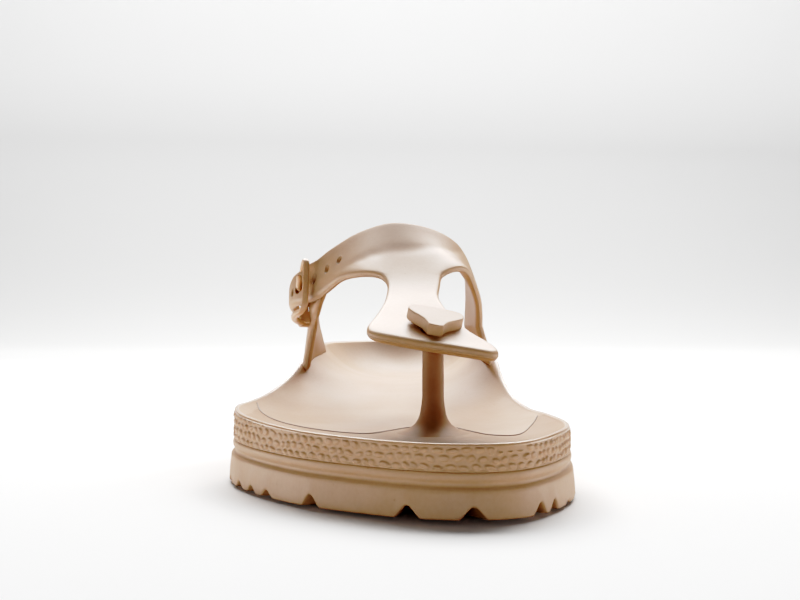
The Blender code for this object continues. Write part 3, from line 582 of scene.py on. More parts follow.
tread_unit = new_piece("tread_unit", np.vstack(rings), strip_faces(len(rings), sole.count))
crisp(tread_unit, 50.0)


# %% Tread unit finish
def tread_marks(bench, place):
    """A little dust near the floor."""
    high = bench.axis(place, 2)
    dust = (1.0 - high.step(0.2, 2.6)) * bench.noise(place, 220.0, 4.0).step(0.45, 0.7)
    return dust * 0.00002, dust * 0.18, 0.0


sole_foam = foam("sole_foam_look", 0.52, 0.00005, tread_marks)
dress(tread_unit, sole_foam, "sole_foam", "outsole")

# %% [markdown]
# ## The footbed
# The footbed has a side band covered with small raised pebbles, a rounded rim and a bowl
# that holds the foot. The band is a piece of its own here, because its pebbles need a much
# finer mesh than the smooth bowl. A Voronoi texture would give round cells at random, but
# these pebbles lie in rows, longer than high, and each row is shifted by half a pebble. So
# Geometry Nodes count cells in the band's own sizes, that is length along the edge and
# height over the seam, let two noises bend the rows, and push every point out along its
# normal by its distance from the middle of its cell. Along the sides the pebbles are longer
# than at the toe. The bowl carries two values of its own for its material: where the rim is
# polished, and how much painted shade darkens the foam, most in front of the parting line
# and a little over the forefoot.

# %% Footbed bowl
RIM_HIGH, RIM_DEEP, SEAM_ROUND, BAND_INSET = 0.75, 0.6, 0.14, 0.22
SEAM_GAP, BOWL_HIDDEN, BAND_HIDDEN = 0.02, 1.3, 1.25
MOULD_LINE = [(-46.0, 108.0), (-43.0, 94.0), (-37.0, 82.0), (-23.0, 66.5), (-10.0, 58.0),
              (-3.0, 66.0), (3.0, 76.0), (9.4, 79.0), (15.5, 76.0), (21.5, 61.0), (26.0, 53.5),
              (33.0, 52.0), (38.2, 70.0), (42.0, 88.0)]
RIM_FALL = ((-0.9, 0.03), (-1.2, 0.12), (-1.6, 0.32), (-2.1, 0.55))
# Shares of painted shade in front of the parting line and over the forefoot.
PAINTED_SHADE_AT_TOE, PAINTED_SHADE_AT_FOREFOOT = 0.29, 0.13


def seam_height(station):
    """Underside of the footbed, just clear of the tread unit."""
    return split_height(station) + SEAM_GAP


def bowl_rings(walk):
    """Underside, hidden wall, rim and bowl of the footbed, and how polished each ring is."""
    rim = walk.both("rim_lateral", "rim_medial")
    hidden = [walk.ring(-BOWL_HIDDEN, height)
              for height in (seam_height(walk.station), rim - RIM_HIGH - 0.1)]
    under = [walk.inner_ring(hidden[0], share, seam_height) for share in (0.0, 0.35, 0.7)]
    top = [walk.ring(RIM_DEEP * (math.cos(turn) - 1.0), rim - RIM_HIGH + RIM_HIGH * math.sin(turn))
           for turn in np.linspace(0.0, math.pi / 2.0, 8)]
    top += [walk.ring(offset, rim - drop) for offset, drop in RIM_FALL]
    edge, floor = top[-1], SOLE.get("floor", walk.station)
    cup = walk.both("cup_lateral", "cup_medial")
    bowl = []
    for step in np.linspace(0.0, 1.0, 33)[1:]:
        share = 1.0 - step**1.7
        plan = walk.towards_spine(edge, share)
        inner_floor = SOLE.get("floor", np.clip(plan[:, 1], SPINE_FRONT, SPINE_REAR))
        depth = share * floor + (1.0 - share) * inner_floor
        bowl.append(np.column_stack([plan, depth + (edge[:, 2] - depth) * share**cup]))
    polished = [0.0] * len(under + hidden) + [1.0] * 9 + [0.5] + [0.0] * (len(top + bowl) - 10)
    return under + hidden + top + bowl, np.repeat(polished, walk.count)


def bed_tone(points):
    """Share of painted shade: most in front of the parting line, a little on the forefoot."""
    line = np.interp(points[:, 0], *np.transpose(MOULD_LINE))
    front = soft_step(1.0, -1.0, points[:, 1] - line) * (abs(points[:, 0] - 1.0) < 46.0)
    forefoot = soft_step(185.0, 120.0, points[:, 1]) * (1.0 - front)
    return PAINTED_SHADE_AT_TOE * front + PAINTED_SHADE_AT_FOREFOOT * forefoot


bed = Outline(460)
rings, rim_polish = bowl_rings(bed)
# Painted shade on the bowl, left off the polished rim.
tone = bed_tone(np.vstack(rings)) * (1.0 - rim_polish)
footbed_bowl = new_piece("footbed_bowl", np.vstack(rings), strip_faces(len(rings), bed.count),
                         {"rim_polish": rim_polish, "bed_tone": tone})
crisp(footbed_bowl, 48.0)

# %% Pebbled band
LONGER_PEBBLES, GATE_FROM, GATE_TO, GATE_BEFORE = 0.3, 23.5, 30.5, 25.0
FADE_AT_SEAM, FADE_AT_RIM, FADE_AT_HEEL, FADE_AT_GATE = (0.25, 0.6), (0.8, 1.15), (0.4, 1.4), (2.3, 1.9)
fine = Outline(1060)
split, rim = seam_height(fine.station), fine.both("rim_lateral", "rim_medial")
rings = [fine.ring(-BAND_HIDDEN, split)]
rings += [fine.ring(SEAM_ROUND * (math.sin(turn) - 1.0), split + SEAM_ROUND * (1.0 - math.cos(turn)))
          for turn in np.linspace(0.0, math.pi / 2.0, 4)]
low, high = split + SEAM_ROUND, rim - RIM_HIGH
rings += [fine.ring(-BAND_INSET * soft_step(0.0, 0.06, t), low + t * (high - low))
          for t in np.linspace(0.0, 1.0, 36)[1:]]
rings += [fine.ring(-BAND_HIDDEN, rim - RIM_HIGH - 0.05), rings[0]]
heights = np.vstack(rings)[:, 2]
rise = heights - np.tile(split, len(rings))
below_rim = np.tile(rim, len(rings)) - heights
arc, whole = fine.arc()
pace = 1.0 - LONGER_PEBBLES * soft_step(20.0, 70.0, fine.station)
paced = np.concatenate([[0.0], np.cumsum(np.diff(arc) * (pace[1:] + pace[:-1]) / 2.0)])
outside = np.repeat([False] + [True] * (len(rings) - 3) + [False] * 2, fine.count)
pebbled = outside * soft_step(*FADE_AT_SEAM, rise) * soft_step(*FADE_AT_RIM, below_rim)
pebbled *= np.tile(soft_step(*FADE_AT_HEEL, np.minimum(arc, whole - arc)), len(rings))
gate = (fine.plan[:, 0] > GATE_FROM) & (fine.plan[:, 0] < GATE_TO) & (fine.station < GATE_BEFORE)
pebbled *= 1.0 - np.tile(gate, len(rings)) * soft_step(*FADE_AT_GATE, below_rim)
pebbled_band = new_piece("pebbled_band", np.vstack(rings), strip_faces(len(rings), fine.count),
                          {"paced": np.tile(paced, len(rings)), "rise": rise, "pebbled": pebbled})


# %% Raised pebbles by Geometry Nodes
def geometry_tree(name, inputs):
    """A geometry tree with named inputs; returns its bench, its input wires and their identifiers."""
    tree = bpy.data.node_groups.new(name, "GeometryNodeTree")
    tree.interface.new_socket(name="Geometry", in_out="OUTPUT", socket_type="NodeSocketGeometry")
    keys = {}
    for title, kind in inputs:
        keys[title] = tree.interface.new_socket(name=title, in_out="INPUT", socket_type=kind).identifier
    bench = Bench(tree)
    entry = tree.nodes.new("NodeGroupInput")
    wires = {title: Wire(bench, entry.outputs[title]) for title, _ in inputs}
    return bench, wires, keys


def run_tree(piece, bench, keys, result, values):
    """Ends a tree in Realize Instances and Set Material, runs it on a piece and settles the mesh."""
    whole = bench.node("GeometryNodeRealizeInstances", None, {"Geometry": result})
    material = values.pop("Material")
    painted = bench.node("GeometryNodeSetMaterial", None, {"Geometry": whole, "Material": material})
    bench.node("NodeGroupOutput", None, {"Geometry": painted})
    modifier = piece.modifiers.new(bench.tree.name, "NODES")
    modifier.node_group = bench.tree
    for title, value in values.items():
        modifier[keys[title]] = value
    return settle(piece)


def named(bench, attribute, kind="FLOAT"):
    return bench.node("GeometryNodeInputNamedAttribute", {"data_type": kind}, {"Name": attribute})


def raised_pebbles(piece, material, width, tier, depth):
    """Pushes a pebble out of every cell of a staggered, slightly bent grid."""
    bench, given, keys = geometry_tree("raised_pebbles", [("Geometry", "NodeSocketGeometry"),
                                                          ("Pebble Width", "NodeSocketFloat"),
                                                          ("Pebble Tier", "NodeSocketFloat"),
                                                          ("Pebble Rise", "NodeSocketFloat")])
    along = named(bench, "paced") / given["Pebble Width"]
    up = named(bench, "rise") / given["Pebble Tier"]
    place = bench.node("ShaderNodeCombineXYZ", None, {0: along, 1: up})
    wander = up + (bench.noise(place, 0.4) - 0.5) * 1.2
    row = wander.floor()
    shifted = along + row * 0.5 + (bench.noise(place, 0.3, 1.0) - 0.5) * 1.6
    cell = bench.node("ShaderNodeCombineXYZ", None, {0: shifted.floor(), 1: row})
    luck = bench.node("ShaderNodeTexWhiteNoise", {"noise_dimensions": "2D"}, {"Vector": cell})
    across = shifted.part() - 0.5 + (luck - 0.5) * 0.1
    high = wander.part() - 0.5
    away = (across * across + high * high) ** 0.5
    pebble = (1.0 - away.step(0.23, 0.45)) * (0.75 + luck * 0.5)
    push = pebble * named(bench, "pebbled") * given["Pebble Rise"]
    normal = bench.node("GeometryNodeInputNormal")
    shift = bench.node("ShaderNodeVectorMath", {"operation": "SCALE"}, {"Vector": normal, "Scale": push})
    moved = bench.node("GeometryNodeSetPosition", None, {"Geometry": given["Geometry"], "Offset": shift})
    return run_tree(piece, bench, keys, moved, {"Pebble Width": width, "Pebble Tier": tier,
                                                "Pebble Rise": depth, "Material": material})


# %% Footbed finish
def footbed_shade_and_polish(bench, place):
    """Painted shade and a duller finish towards the toe, and a rim that hands and feet have polished."""
    rim, tone = bench.layer("rim_polish"), bench.layer("bed_tone")
    return 0.0, tone, rim * 0.3 - tone * 0.6


footbed_foam = foam("footbed_foam_look", 0.54, 0.00004, footbed_shade_and_polish)
PEBBLE_WIDTH, PEBBLE_TIER, PEBBLE_RISE = 3.1, 2.05, 0.5
raised_pebbles(pebbled_band, footbed_foam, PEBBLE_WIDTH, PEBBLE_TIER, PEBBLE_RISE * MM)
crisp(pebbled_band, 65.0)
for made in (footbed_bowl, pebbled_band):
    dress(made, footbed_foam, "footbed_foam", "footbed")

# %% [markdown]
# ### The parting line on the footbed
# A fine ridge crosses the footbed behind the post, dips towards the toe on both sides and
# turns back along the rim: two halves of the mould met there. Only its plan is known, so
# Geometry Nodes drop a line from above onto the bowl with a ray at every point, and sweep
# a thin round section along it.

# %% Parting line
def rounded_path(corners, per):
    """A Catmull-Rom curve through a few corners."""
    corners = np.asarray(corners, float)
    whole = np.vstack([2 * corners[0] - corners[1], corners, 2 * corners[-1] - corners[-2]])
    points = []
    for i in range(len(corners) - 1):
        p, q, r, s = whole[i:i + 4]
        for t in np.linspace(0.0, 1.0, per, endpoint=False):
            points.append(0.5 * (2 * q + (r - p) * t + (2 * p - 5 * q + 4 * r - s) * t**2
                                 + (3 * q - p - 3 * r + s) * t**3))
    return np.array(points + [corners[-1]])


def swept_on_surface(piece, material, surface, radius):
    """Drops the piece's edges onto a surface and sweeps a round section along them."""
    bench, given, keys = geometry_tree("swept_on_surface", [("Geometry", "NodeSocketGeometry"),
                                                            ("Surface", "NodeSocketObject"),
                                                            ("Radius", "NodeSocketFloat")])
    target = bench.node("GeometryNodeObjectInfo", None, {"Object": given["Surface"]}, out="Geometry")
    place = bench.node("GeometryNodeInputPosition")
    hit = bench.node("GeometryNodeRaycast", None, {"Target Geometry": target, "Source Position": place,
                                                   "Ray Direction": (0.0, 0.0, -1.0)}, out="Hit Position")
    lying = bench.node("GeometryNodeSetPosition", None, {"Geometry": given["Geometry"], "Position": hit})
    line = bench.node("GeometryNodeMeshToCurve", None, {"Mesh": lying})
    ring = bench.node("GeometryNodeCurvePrimitiveCircle", None,
                      {"Resolution": 10, "Radius": given["Radius"]})
    swept = bench.node("GeometryNodeCurveToMesh", None,
                       {"Curve": line, "Profile Curve": ring, "Fill Caps": True})
    return run_tree(piece, bench, keys, swept, {"Surface": surface, "Radius": radius, "Material": material})


RIDGE_RADIUS, DROP_FROM = 0.26, 60.0
plan = rounded_path(MOULD_LINE, 16)
mesh = bpy.data.meshes.new("parting_ridge")
mesh.from_pydata(world(np.column_stack([plan, np.full(len(plan), DROP_FROM)])).tolist(),
                 [(i, i + 1) for i in range(len(plan) - 1)], [])
parting_ridge = add_object("parting_ridge", mesh)
# The ridge is painted at half the foam's brightness: painted shade along the ridge.
shaded_ridge_foam = foam("ridge_foam_look", 0.5, 0.00003, shade=0.5)
swept_on_surface(parting_ridge, shaded_ridge_foam, footbed_bowl, RIDGE_RADIUS * MM)
dress(parting_ridge, shaded_ridge_foam, "footbed_foam", "footbed")

# %% [markdown]
# ## The toe post and its head
# The post goes up between the toes and flares at its foot into a low mound, where it grows
# out of the footbed. It stands in the shade of the flap, and that shade is painted into its
# colour: the toe zone's painted shade at its foot, deeper further up.
# The two halves of its mould left a thin rib up its left and right sides. On top
# sits a shield shaped head that stops the strap from slipping off. The head lies square to
# the flap under it, so its directions come from the same form that the strap is made on.

# %% The form under the straps
ARCH_STEPS, SKIRT_DROP = 160, 70
GRID_STEP = 0.5


def last_section(station):
    """Girth from the crown, x and z along one section of the form."""
    form = dict(zip(LAST.columns, LAST.row(station)))
    turn = np.linspace(math.pi, 0.0, 2 * ARCH_STEPS + 1)
    medial = np.cos(turn) > 0.0
    half = np.where(medial, form["half_medial"], form["half_lateral"])
    power = 2.0 / np.where(medial, form["full_medial"], form["full_lateral"])
    arch_x = form["centre"] + half * np.sign(np.cos(turn)) * np.abs(np.cos(turn)) ** power
    arch_z = form["base"] + (form["crown"] - form["base"]) * np.abs(np.sin(turn)) ** power
    drop = np.arange(1.0, SKIRT_DROP + 1.0)
    lateral_x = form["centre"] - form["half_lateral"] - form["skirt_lateral"] * drop
    medial_x = form["centre"] + form["half_medial"] + form["skirt_medial"] * drop
    x = np.concatenate([lateral_x[::-1], arch_x, medial_x])
    z = np.concatenate([form["base"] - drop[::-1], arch_z, form["base"] - drop])
    girth = np.concatenate([[0.0], np.cumsum(np.hypot(np.diff(x), np.diff(z)))])
    return girth - girth[SKIRT_DROP + ARCH_STEPS], x, z


girths = np.arange(-100.0, 100.0 + GRID_STEP, GRID_STEP)
form_stations = np.arange(45.0, 195.0 + GRID_STEP, GRID_STEP)
form_points = []
for station in form_stations:
    lengths, x, z = last_section(station)
    form_points.append(np.column_stack([np.interp(girths, lengths, x), np.full(len(girths), station),
                                        np.interp(girths, lengths, z)]))
form_points = np.array(form_points)
form_normals = np.cross(np.gradient(form_points, axis=1), np.gradient(form_points, axis=0))
form_normals /= np.linalg.norm(form_normals, axis=-1, keepdims=True)
for axis in (0, 1):
    form_normals = sum(np.roll(form_normals, shift, axis) for shift in (-3, -2, -1, 0, 1, 2, 3))


def skin(girth, station, lift):
    """Points over the form, lifted square to its surface."""
    row = (np.asarray(station, float) - form_stations[0]) / GRID_STEP
    column = (np.asarray(girth, float) - girths[0]) / GRID_STEP
    row = np.clip(row, 0.0, len(form_stations) - 1.001)
    column = np.clip(column, 0.0, len(girths) - 1.001)
    i, j = row.astype(int), column.astype(int)
    u, v = (row - i)[..., None], (column - j)[..., None]
    point, normal = ((1.0 - u) * ((1.0 - v) * grid[i, j] + v * grid[i, j + 1])
                     + u * ((1.0 - v) * grid[i + 1, j] + v * grid[i + 1, j + 1])
                     for grid in (form_points, form_normals))
    lift = np.asarray(lift, float)[..., None]
    return point + lift * normal / np.linalg.norm(normal, axis=-1, keepdims=True)


def girth_at(x, station):
    lengths, across, _ = last_section(station)
    arch = slice(SKIRT_DROP, -SKIRT_DROP)
    return float(np.interp(x, across[arch], lengths[arch]))


print("crown of the form at station 127 in mm:", skin(0.0, 127.0, 0.0).round(1))

# %% Toe post
POST_X, POST_STATION = 9.4, 61.0
POST = Table("height half_width half_length", [
    (-0.9, 14.0, 13.0), (-0.2, 11.0, 11.2), (0.5, 8.6, 9.4), (1.2, 7.0, 8.0), (2.2, 5.5, 6.6),
    (4.0, 4.1, 5.2), (7.0, 3.3, 4.4), (16.0, 2.95, 4.0), (31.0, 2.9, 3.9)])
POST_SIDES, RIB_HEIGHT, RIB_HALF_TURN = 72, 0.16, 0.09
turn = full_turn(POST_SIDES)
rib = RIB_HEIGHT * np.exp(-(np.sin(turn) / RIB_HALF_TURN) ** 2)
post_floor = float(SOLE.get("floor", POST_STATION))
rings = []
for height in np.concatenate([np.linspace(-0.9, 4.0, 20), np.linspace(5.0, 31.0, 20)]):
    half_width, half_length = POST.row(height)
    grow = rib * soft_step(1.0, 5.0, height)
    rings.append(np.column_stack([POST_X + (half_width + grow) * np.cos(turn),
                                  POST_STATION + (half_length + grow) * np.sin(turn),
                                  np.full(POST_SIDES, post_floor + height)]))
toe_post = new_piece("toe_post", np.vstack(rings), capped_faces(len(rings), POST_SIDES))
crisp(toe_post, 60.0)


def post_painted_shade(bench, place):
    """Painted shade under the flap: the toe zone's painted shade at the foot, deeper further up."""
    high = bench.axis(place, 2) - post_floor
    return 0.0, high.step(0.6, 6.0) * 0.31 + PAINTED_SHADE_AT_TOE, 0.0


shaded_post_foam = foam("post_foam_look", 0.74, 0.00004, post_painted_shade)
dress(toe_post, shaded_post_foam, "footbed_foam", "footbed")

# %% Stud head
HEAD_HALF = ((0.0, -8.0), (6.2, -7.4), (8.1, -5.8), (8.2, -2.4), (6.3, 0.4),
             (3.5, 3.5), (2.4, 6.4), (2.1, 7.9))
HEAD_THICKNESS, HEAD_SET_BACK = 3.5, 3.4
HEAD_ROLL = math.radians(6.0)


def cut_corners(outline, share, rounds):
    """Rounds a closed outline by cutting its corners again and again."""
    outline = np.asarray(outline, float)
    for _ in range(rounds):
        ahead = np.roll(outline, -1, axis=0)
        outline = np.stack([outline + share * (ahead - outline), ahead + share * (outline - ahead)],
                           axis=1).reshape(-1, 2)
    return outline


def head_frame():
    """Point on the flap over the post, and the flap's own directions there."""
    girth = girth_at(POST_X, POST_STATION)
    foot = skin(girth, POST_STATION, STRAP_THICKNESS)
    across = skin(girth + 2.0, POST_STATION, STRAP_THICKNESS) - foot
    across /= np.linalg.norm(across)
    normal = skin(girth, POST_STATION, STRAP_THICKNESS + 1.0) - foot
    forward = -np.cross(normal, across)
    rolled = math.cos(HEAD_ROLL) * across - math.sin(HEAD_ROLL) * normal
    return foot - HEAD_SET_BACK * forward, rolled, forward, np.cross(rolled, -forward)


foot, across, forward, normal = head_frame()
shield = cut_corners(list(HEAD_HALF) + [(-x, y) for x, y in HEAD_HALF[:0:-1]], 0.22, 3)
run = np.roll(shield, -1, axis=0) - np.roll(shield, 1, axis=0)
away = np.column_stack([run[:, 1], -run[:, 0]]) / np.linalg.norm(run, axis=1)[:, None]
if (away * shield).sum() < 0.0:
    away = -away
top = HEAD_THICKNESS
profile = [(-0.5, 0.0), (-0.15, 0.12), (0.0, 0.45), (0.0, top - 1.4), (0.0, top - 0.6),
           (-0.04, top - 0.26), (-0.13, top - 0.11), (-0.27, top - 0.03), (-0.45, top)]
points = []
for offset, height in profile:
    flat = shield + offset * away
    points.append(foot + flat[:, :1] * across + flat[:, 1:] * forward + height * normal)
stud_head = new_piece("stud_head", np.vstack(points), capped_faces(len(points), len(shield)))
for polygon in stud_head.data.polygons:
    polygon.use_smooth = len(polygon.vertices) == 4
dress(stud_head, footbed_foam, "footbed_foam", "footbed")

# %% [markdown]
# ## The T-shaped strap
# The strap is one moulded sheet. It is laid out on the form in girths and stations: rows
# across the instep band, then the toe strap that leaves the band at its throat and widens
# into the flap. Solidify and Bevel would be the usual way to a wall with round edges, but
# Bevel can't be wider than the smallest face beside it. So the wall is worked out: its two
# faces lie half a wall away from the middle, and near the rim they close in on each other
# along little more than a quarter circle. A crease runs across the instep, where the strap
# is bent over and over: it lowers the sheet a little along a curved line, and behind it the
# foam is duller and painted a deeper tone as shade.

# %% Strap sheet
BAND_LATERAL, BAND_MEDIAL, TOE_ROWS, EDGE_STEPS = 60, 44, 34, 6
EDGE_ROUND, EDGE_FULLNESS = 1.75, 2.1
TAIL_WIDER, TAIL_START, TAIL_END = 2.0, (-33.0, -39.0), (-61.0, -55.0)
BAND_EASE, THROAT_FADE, FLAP_ROUND = 5.0, 0.35, 0.04
CREASE_STATION, CREASE_DEPTH, CREASE_WIDTH, CREASE_MIDDLE = 117.5, 0.36, 1.2, 4.0


def crease_line(girth):
    """Station of the instep crease at a girth."""
    return CREASE_STATION + 0.035 * np.maximum(girth, 0.0) ** 2 + 0.02 * np.minimum(girth, 0.0) ** 2


def crease(girth, station):
    """How far the instep crease moves the strap, in mm."""
    valley = np.exp(-((station - crease_line(girth)) / CREASE_WIDTH) ** 2)
    return -CREASE_DEPTH * soft_step(30.0, 10.0, abs(girth - CREASE_MIDDLE)) * valley


def behind_crease(girth, station):
    """1 on the instep behind the crease, 0 elsewhere."""
    across = soft_step(38.0, 16.0, abs(girth - CREASE_MIDDLE))
    return across * soft_step(-0.8, 1.2, station - crease_line(girth))


def graded(width, inside):
    """Shares across a width, close together where its edges are rounded."""
    turn = np.linspace(0.0, math.pi / 2.0, EDGE_STEPS + 1)
    near = min(EDGE_ROUND / width, 0.42) * (1.0 - np.cos(turn))
    middle = np.linspace(near[-1], 1.0 - near[-1], inside + 1)[1:-1]
    return np.concatenate([near, middle, (1.0 - near)[::-1]])


def grid_faces(rows, columns):
    return strip_faces(rows, columns, closed=False).tolist()


def row_across(front, rear, inside):
    """Points of one row from its front edge to its rear edge."""
    front, rear = np.array(front), np.array(rear)
    shares = graded(np.linalg.norm(rear - front), inside)[:, None]
    return list((1.0 - shares) * front + shares * rear)


def band_row(reach):
    """A row of the band's table, evened out over a few mm of reach."""
    ends = min(reach - BAND.knots[0], BAND.knots[-1] - reach)
    window = min(BAND_EASE, ends) * np.linspace(-1.0, 1.0, 7)
    row = np.average(BAND.row(reach + window), axis=0, weights=(1, 2, 3, 4, 3, 2, 1))
    wider = TAIL_WIDER * soft_step(*TAIL_START, reach) * soft_step(*TAIL_END, reach)
    row[3:5] += wider * (row[3:5] - row[:2]) / np.linalg.norm(row[3:5] - row[:2])
    return row


def strap_layout():
    """Girth, station and lift of every point of the sheet, and its faces."""
    shares = graded(THROAT[1] - THROAT[0], 12)
    throat = THROAT[0] + (THROAT[1] - THROAT[0]) * shares
    lateral = np.linspace(BAND.knots[0], THROAT[0], BAND_LATERAL + 1)
    medial = np.linspace(THROAT[1], BAND.knots[-1], BAND_MEDIAL + 1)
    rows = [band_row(reach) for reach in np.concatenate([lateral, throat[1:-1], medial])]
    nodes = [node for row in rows for node in row_across(row[:3], row[3:], 10)]
    columns = len(nodes) // len(rows)
    faces = grid_faces(len(rows), columns)
    previous = [(BAND_LATERAL + i) * columns for i in range(len(throat))]
    front = np.array([nodes[i] for i in previous])
    sag = front - front[0] - shares[:, None] * (front[-1] - front[0])
    shift = [front[0][:2] - TOE_STRAP.values[0][:2], front[-1][:2] - TOE_STRAP.values[0][2:4]]
    ending = np.sin(np.linspace(0.0, math.pi / 2.0, EDGE_STEPS + 1)[1:])
    straight = 1.0 - FLAP_ROUND
    steps = np.concatenate([np.linspace(0.0, straight, TOE_ROWS)[1:], straight + FLAP_ROUND * ending])
    for toeward in steps:
        row = TOE_STRAP.row(toeward)
        fade = max(0.0, 1.0 - toeward / THROAT_FADE) ** 1.5
        left, right, bow = row[:2] + fade * shift[0], row[2:4] + fade * shift[1], row[4]
        current = []
        for share, dip in zip(shares, sag):
            arch = math.sqrt(max(0.0, 1.0 - (2.0 * share - 1.0) ** 2))
            girth, station = left + share * (right - left) + fade * dip[:2]
            current.append(len(nodes))
            nodes.append(np.array([girth, station - bow * arch, 0.0]))
        faces += [(previous[i], previous[i + 1], current[i + 1], current[i])
                  for i in range(len(throat) - 1)]
        previous = current
    return nodes, faces


# %% Rounded sheet
def sheet_rim(faces):
    """Edges that only one face uses."""
    sides = np.sort(np.concatenate([faces[:, [i, (i + 1) % 4]] for i in range(4)]), axis=1)
    pairs, uses = np.unique(sides, axis=0, return_counts=True)
    return pairs, pairs[uses == 1]


def ease_rim(nodes, faces, rounds):
    """Smooths the rim without shrinking it, and lets the inside follow."""
    pairs, rim = sheet_rim(faces)
    ends = np.concatenate([rim, rim[:, ::-1]])
    on_rim = np.unique(rim)
    smooth = nodes.copy()
    for factor in (0.5, -0.53) * rounds:
        total = np.zeros_like(nodes)
        np.add.at(total, ends[:, 0], smooth[ends[:, 1]])
        smooth[on_rim] += factor * (total[on_rim] / 2.0 - smooth[on_rim])
    moved = smooth - nodes
    both = np.concatenate([pairs, pairs[:, ::-1]])
    uses = np.bincount(both[:, 0], minlength=len(nodes))[:, None]
    kept = moved[on_rim].copy()
    for _ in range(150):
        total = np.zeros_like(nodes)
        np.add.at(total, both[:, 0], moved[both[:, 1]])
        moved = total / uses
        moved[on_rim] = kept
    return nodes + moved


def rim_distance(nodes, faces):
    """Distance of every node from the rim, over the form, in mm."""
    _, rim = sheet_rim(faces)
    start, along = nodes[rim[:, 0], :2], nodes[rim[:, 1], :2] - nodes[rim[:, 0], :2]
    nearest = np.full(len(nodes), np.inf)
    for a, d in zip(start, along):
        t = np.clip(((nodes[:, :2] - a) @ d) / (d @ d), 0.0, 1.0)
        nearest = np.minimum(nearest, np.linalg.norm(nodes[:, :2] - a - t[:, None] * d, axis=1))
    nearest[np.unique(rim)] = 0.0
    return nearest


def strap_piece(name, nodes, faces, outer_lift, wall):
    """A closed strap with a round rim; `through` runs from 0 inside to 1 outside."""
    faces = np.array(faces)
    nodes = ease_rim(np.array(nodes), faces, 40)
    near = 1.0 - np.clip(rim_distance(nodes, faces) / EDGE_ROUND, 0.0, 1.0)
    swell = (1.0 - near**EDGE_FULLNESS) ** (1.0 / EDGE_FULLNESS)
    girth, station, lift = nodes.T
    wall = wall(station)
    middle = lift + crease(girth, station) + outer_lift - wall / 2.0
    points = [skin(girth, station, middle + way * swell * wall / 2.0) for way in (-1.0, 1.0)]
    piece = new_piece(name, np.vstack(points), np.vstack([faces[:, ::-1], faces + len(nodes)]),
                      {"through": np.concatenate([0.5 - swell / 2.0, 0.5 + swell / 2.0]),
                       "behind_crease": np.tile(behind_crease(girth, station), 2)})
    smooth = piece.modifiers.new("smooth", "SUBSURF")
    smooth.levels = smooth.render_levels = 1
    return settle(piece)


def band_wall(station):
    """The flap is as thick as the post needs, the instep band is thinner."""
    return STRAP_THICKNESS * (0.82 + 0.18 * soft_step(104.0, 84.0, station))


t_strap = strap_piece("t_strap", *strap_layout(), STRAP_THICKNESS, band_wall)
print("strap has", len(t_strap.data.vertices), "points")

# %% [markdown]
# ### Holes in the strap
# The tail has a row of adjusting holes. Each is punched with the same tool: a pin with a
# wider collar that leaves a small countersunk mouth. Geometry Nodes put one copy of the
# punch on every hole point, turned to the strap's normal there, and cut them all out with
# one Mesh Boolean. The post's hole in the flap is cut with the same tree, by its own tool.

# %% Punch the holes
HOLE_REACHES = (-21.2, -28.0, -34.4, -47.0)
HOLE_PROFILE, HOLE_LONGER = [(1.0, -3.4), (1.0, 1.0), (1.15, 1.4), (1.4, 1.8), (1.7, 3.0)], 1.45
POST_HOLE_GAP, POST_HOLE_LEVEL, POST_HOLE_MIDDLE, POST_HOLE_HALF = 0.45, 24.0, 26.0, 14.0


def band_frame(reach):
    """Middle of the band at a reach, and its directions."""
    row = BAND.row(reach)
    girth, station, lift = (row[:3] + row[3:]) / 2.0
    across = skin(*row[3:]) - skin(*row[:3])
    across /= np.linalg.norm(across)
    normal = skin(girth, station, 1.0) - skin(girth, station, 0.0)
    normal -= across * np.dot(across, normal)
    return girth, station, lift, across, normal / np.linalg.norm(normal)


def lathe(name, profile, sides):
    """A turned tool about +Z, from radii and heights in mm, at the origin."""
    turn = full_turn(sides)
    rings = [np.column_stack([r * np.cos(turn), r * np.sin(turn), np.full(sides, h)]) for r, h in profile]
    points = np.vstack(rings) + (X_MIDDLE, LENGTH / 2.0, 0.0)
    # Every point of a tool carries bore, which the strap's material paints as shade on the walls it cuts.
    return new_piece(name, points, capped_faces(len(rings), sides), {"bore": np.ones(len(points))})


def punch(piece, material, tool, places, axes, ways, sizes):
    """Cuts a copy of a tool out of a piece at each place, with its own axis, way and size."""
    points = new_piece("hole_points", places, [])
    for layer, values in (("axis", axes), ("way", ways), ("size", sizes)):
        attribute = points.data.attributes.new(layer, "FLOAT_VECTOR", "POINT").data
        attribute.foreach_set("vector", np.ravel(values).astype(np.float32))
    bench, given, keys = geometry_tree("punched_holes", [("Geometry", "NodeSocketGeometry"),
                                                         ("Hole Points", "NodeSocketObject"),
                                                         ("Punch", "NodeSocketObject")])
    spots = bench.node("GeometryNodeObjectInfo", None, {"Object": given["Hole Points"]}, out="Geometry")
    pin = bench.node("GeometryNodeObjectInfo", None, {"Object": given["Punch"]}, out="Geometry")
    turned = bench.node("FunctionNodeAlignRotationToVector", {"axis": "Z"},
                        {"Vector": named(bench, "axis", "FLOAT_VECTOR")})
    turned = bench.node("FunctionNodeAlignRotationToVector", {"axis": "X", "pivot_axis": "Z"},
                        {"Rotation": turned, "Vector": named(bench, "way", "FLOAT_VECTOR")})
    size = named(bench, "size", "FLOAT_VECTOR")
    pins = bench.node("GeometryNodeInstanceOnPoints", None,
                      {"Points": spots, "Instance": pin, "Rotation": turned, "Scale": size})
    solid = bench.node("GeometryNodeRealizeInstances", None, {"Geometry": pins})
    cut = bench.node("GeometryNodeMeshBoolean", {"operation": "DIFFERENCE", "solver": "EXACT"},
                     {"Mesh 1": given["Geometry"], "Mesh 2": solid})
    run_tree(piece, bench, keys, cut, {"Hole Points": points, "Punch": tool, "Material": material})
    for helper in (points, tool):
        bpy.data.objects.remove(helper)


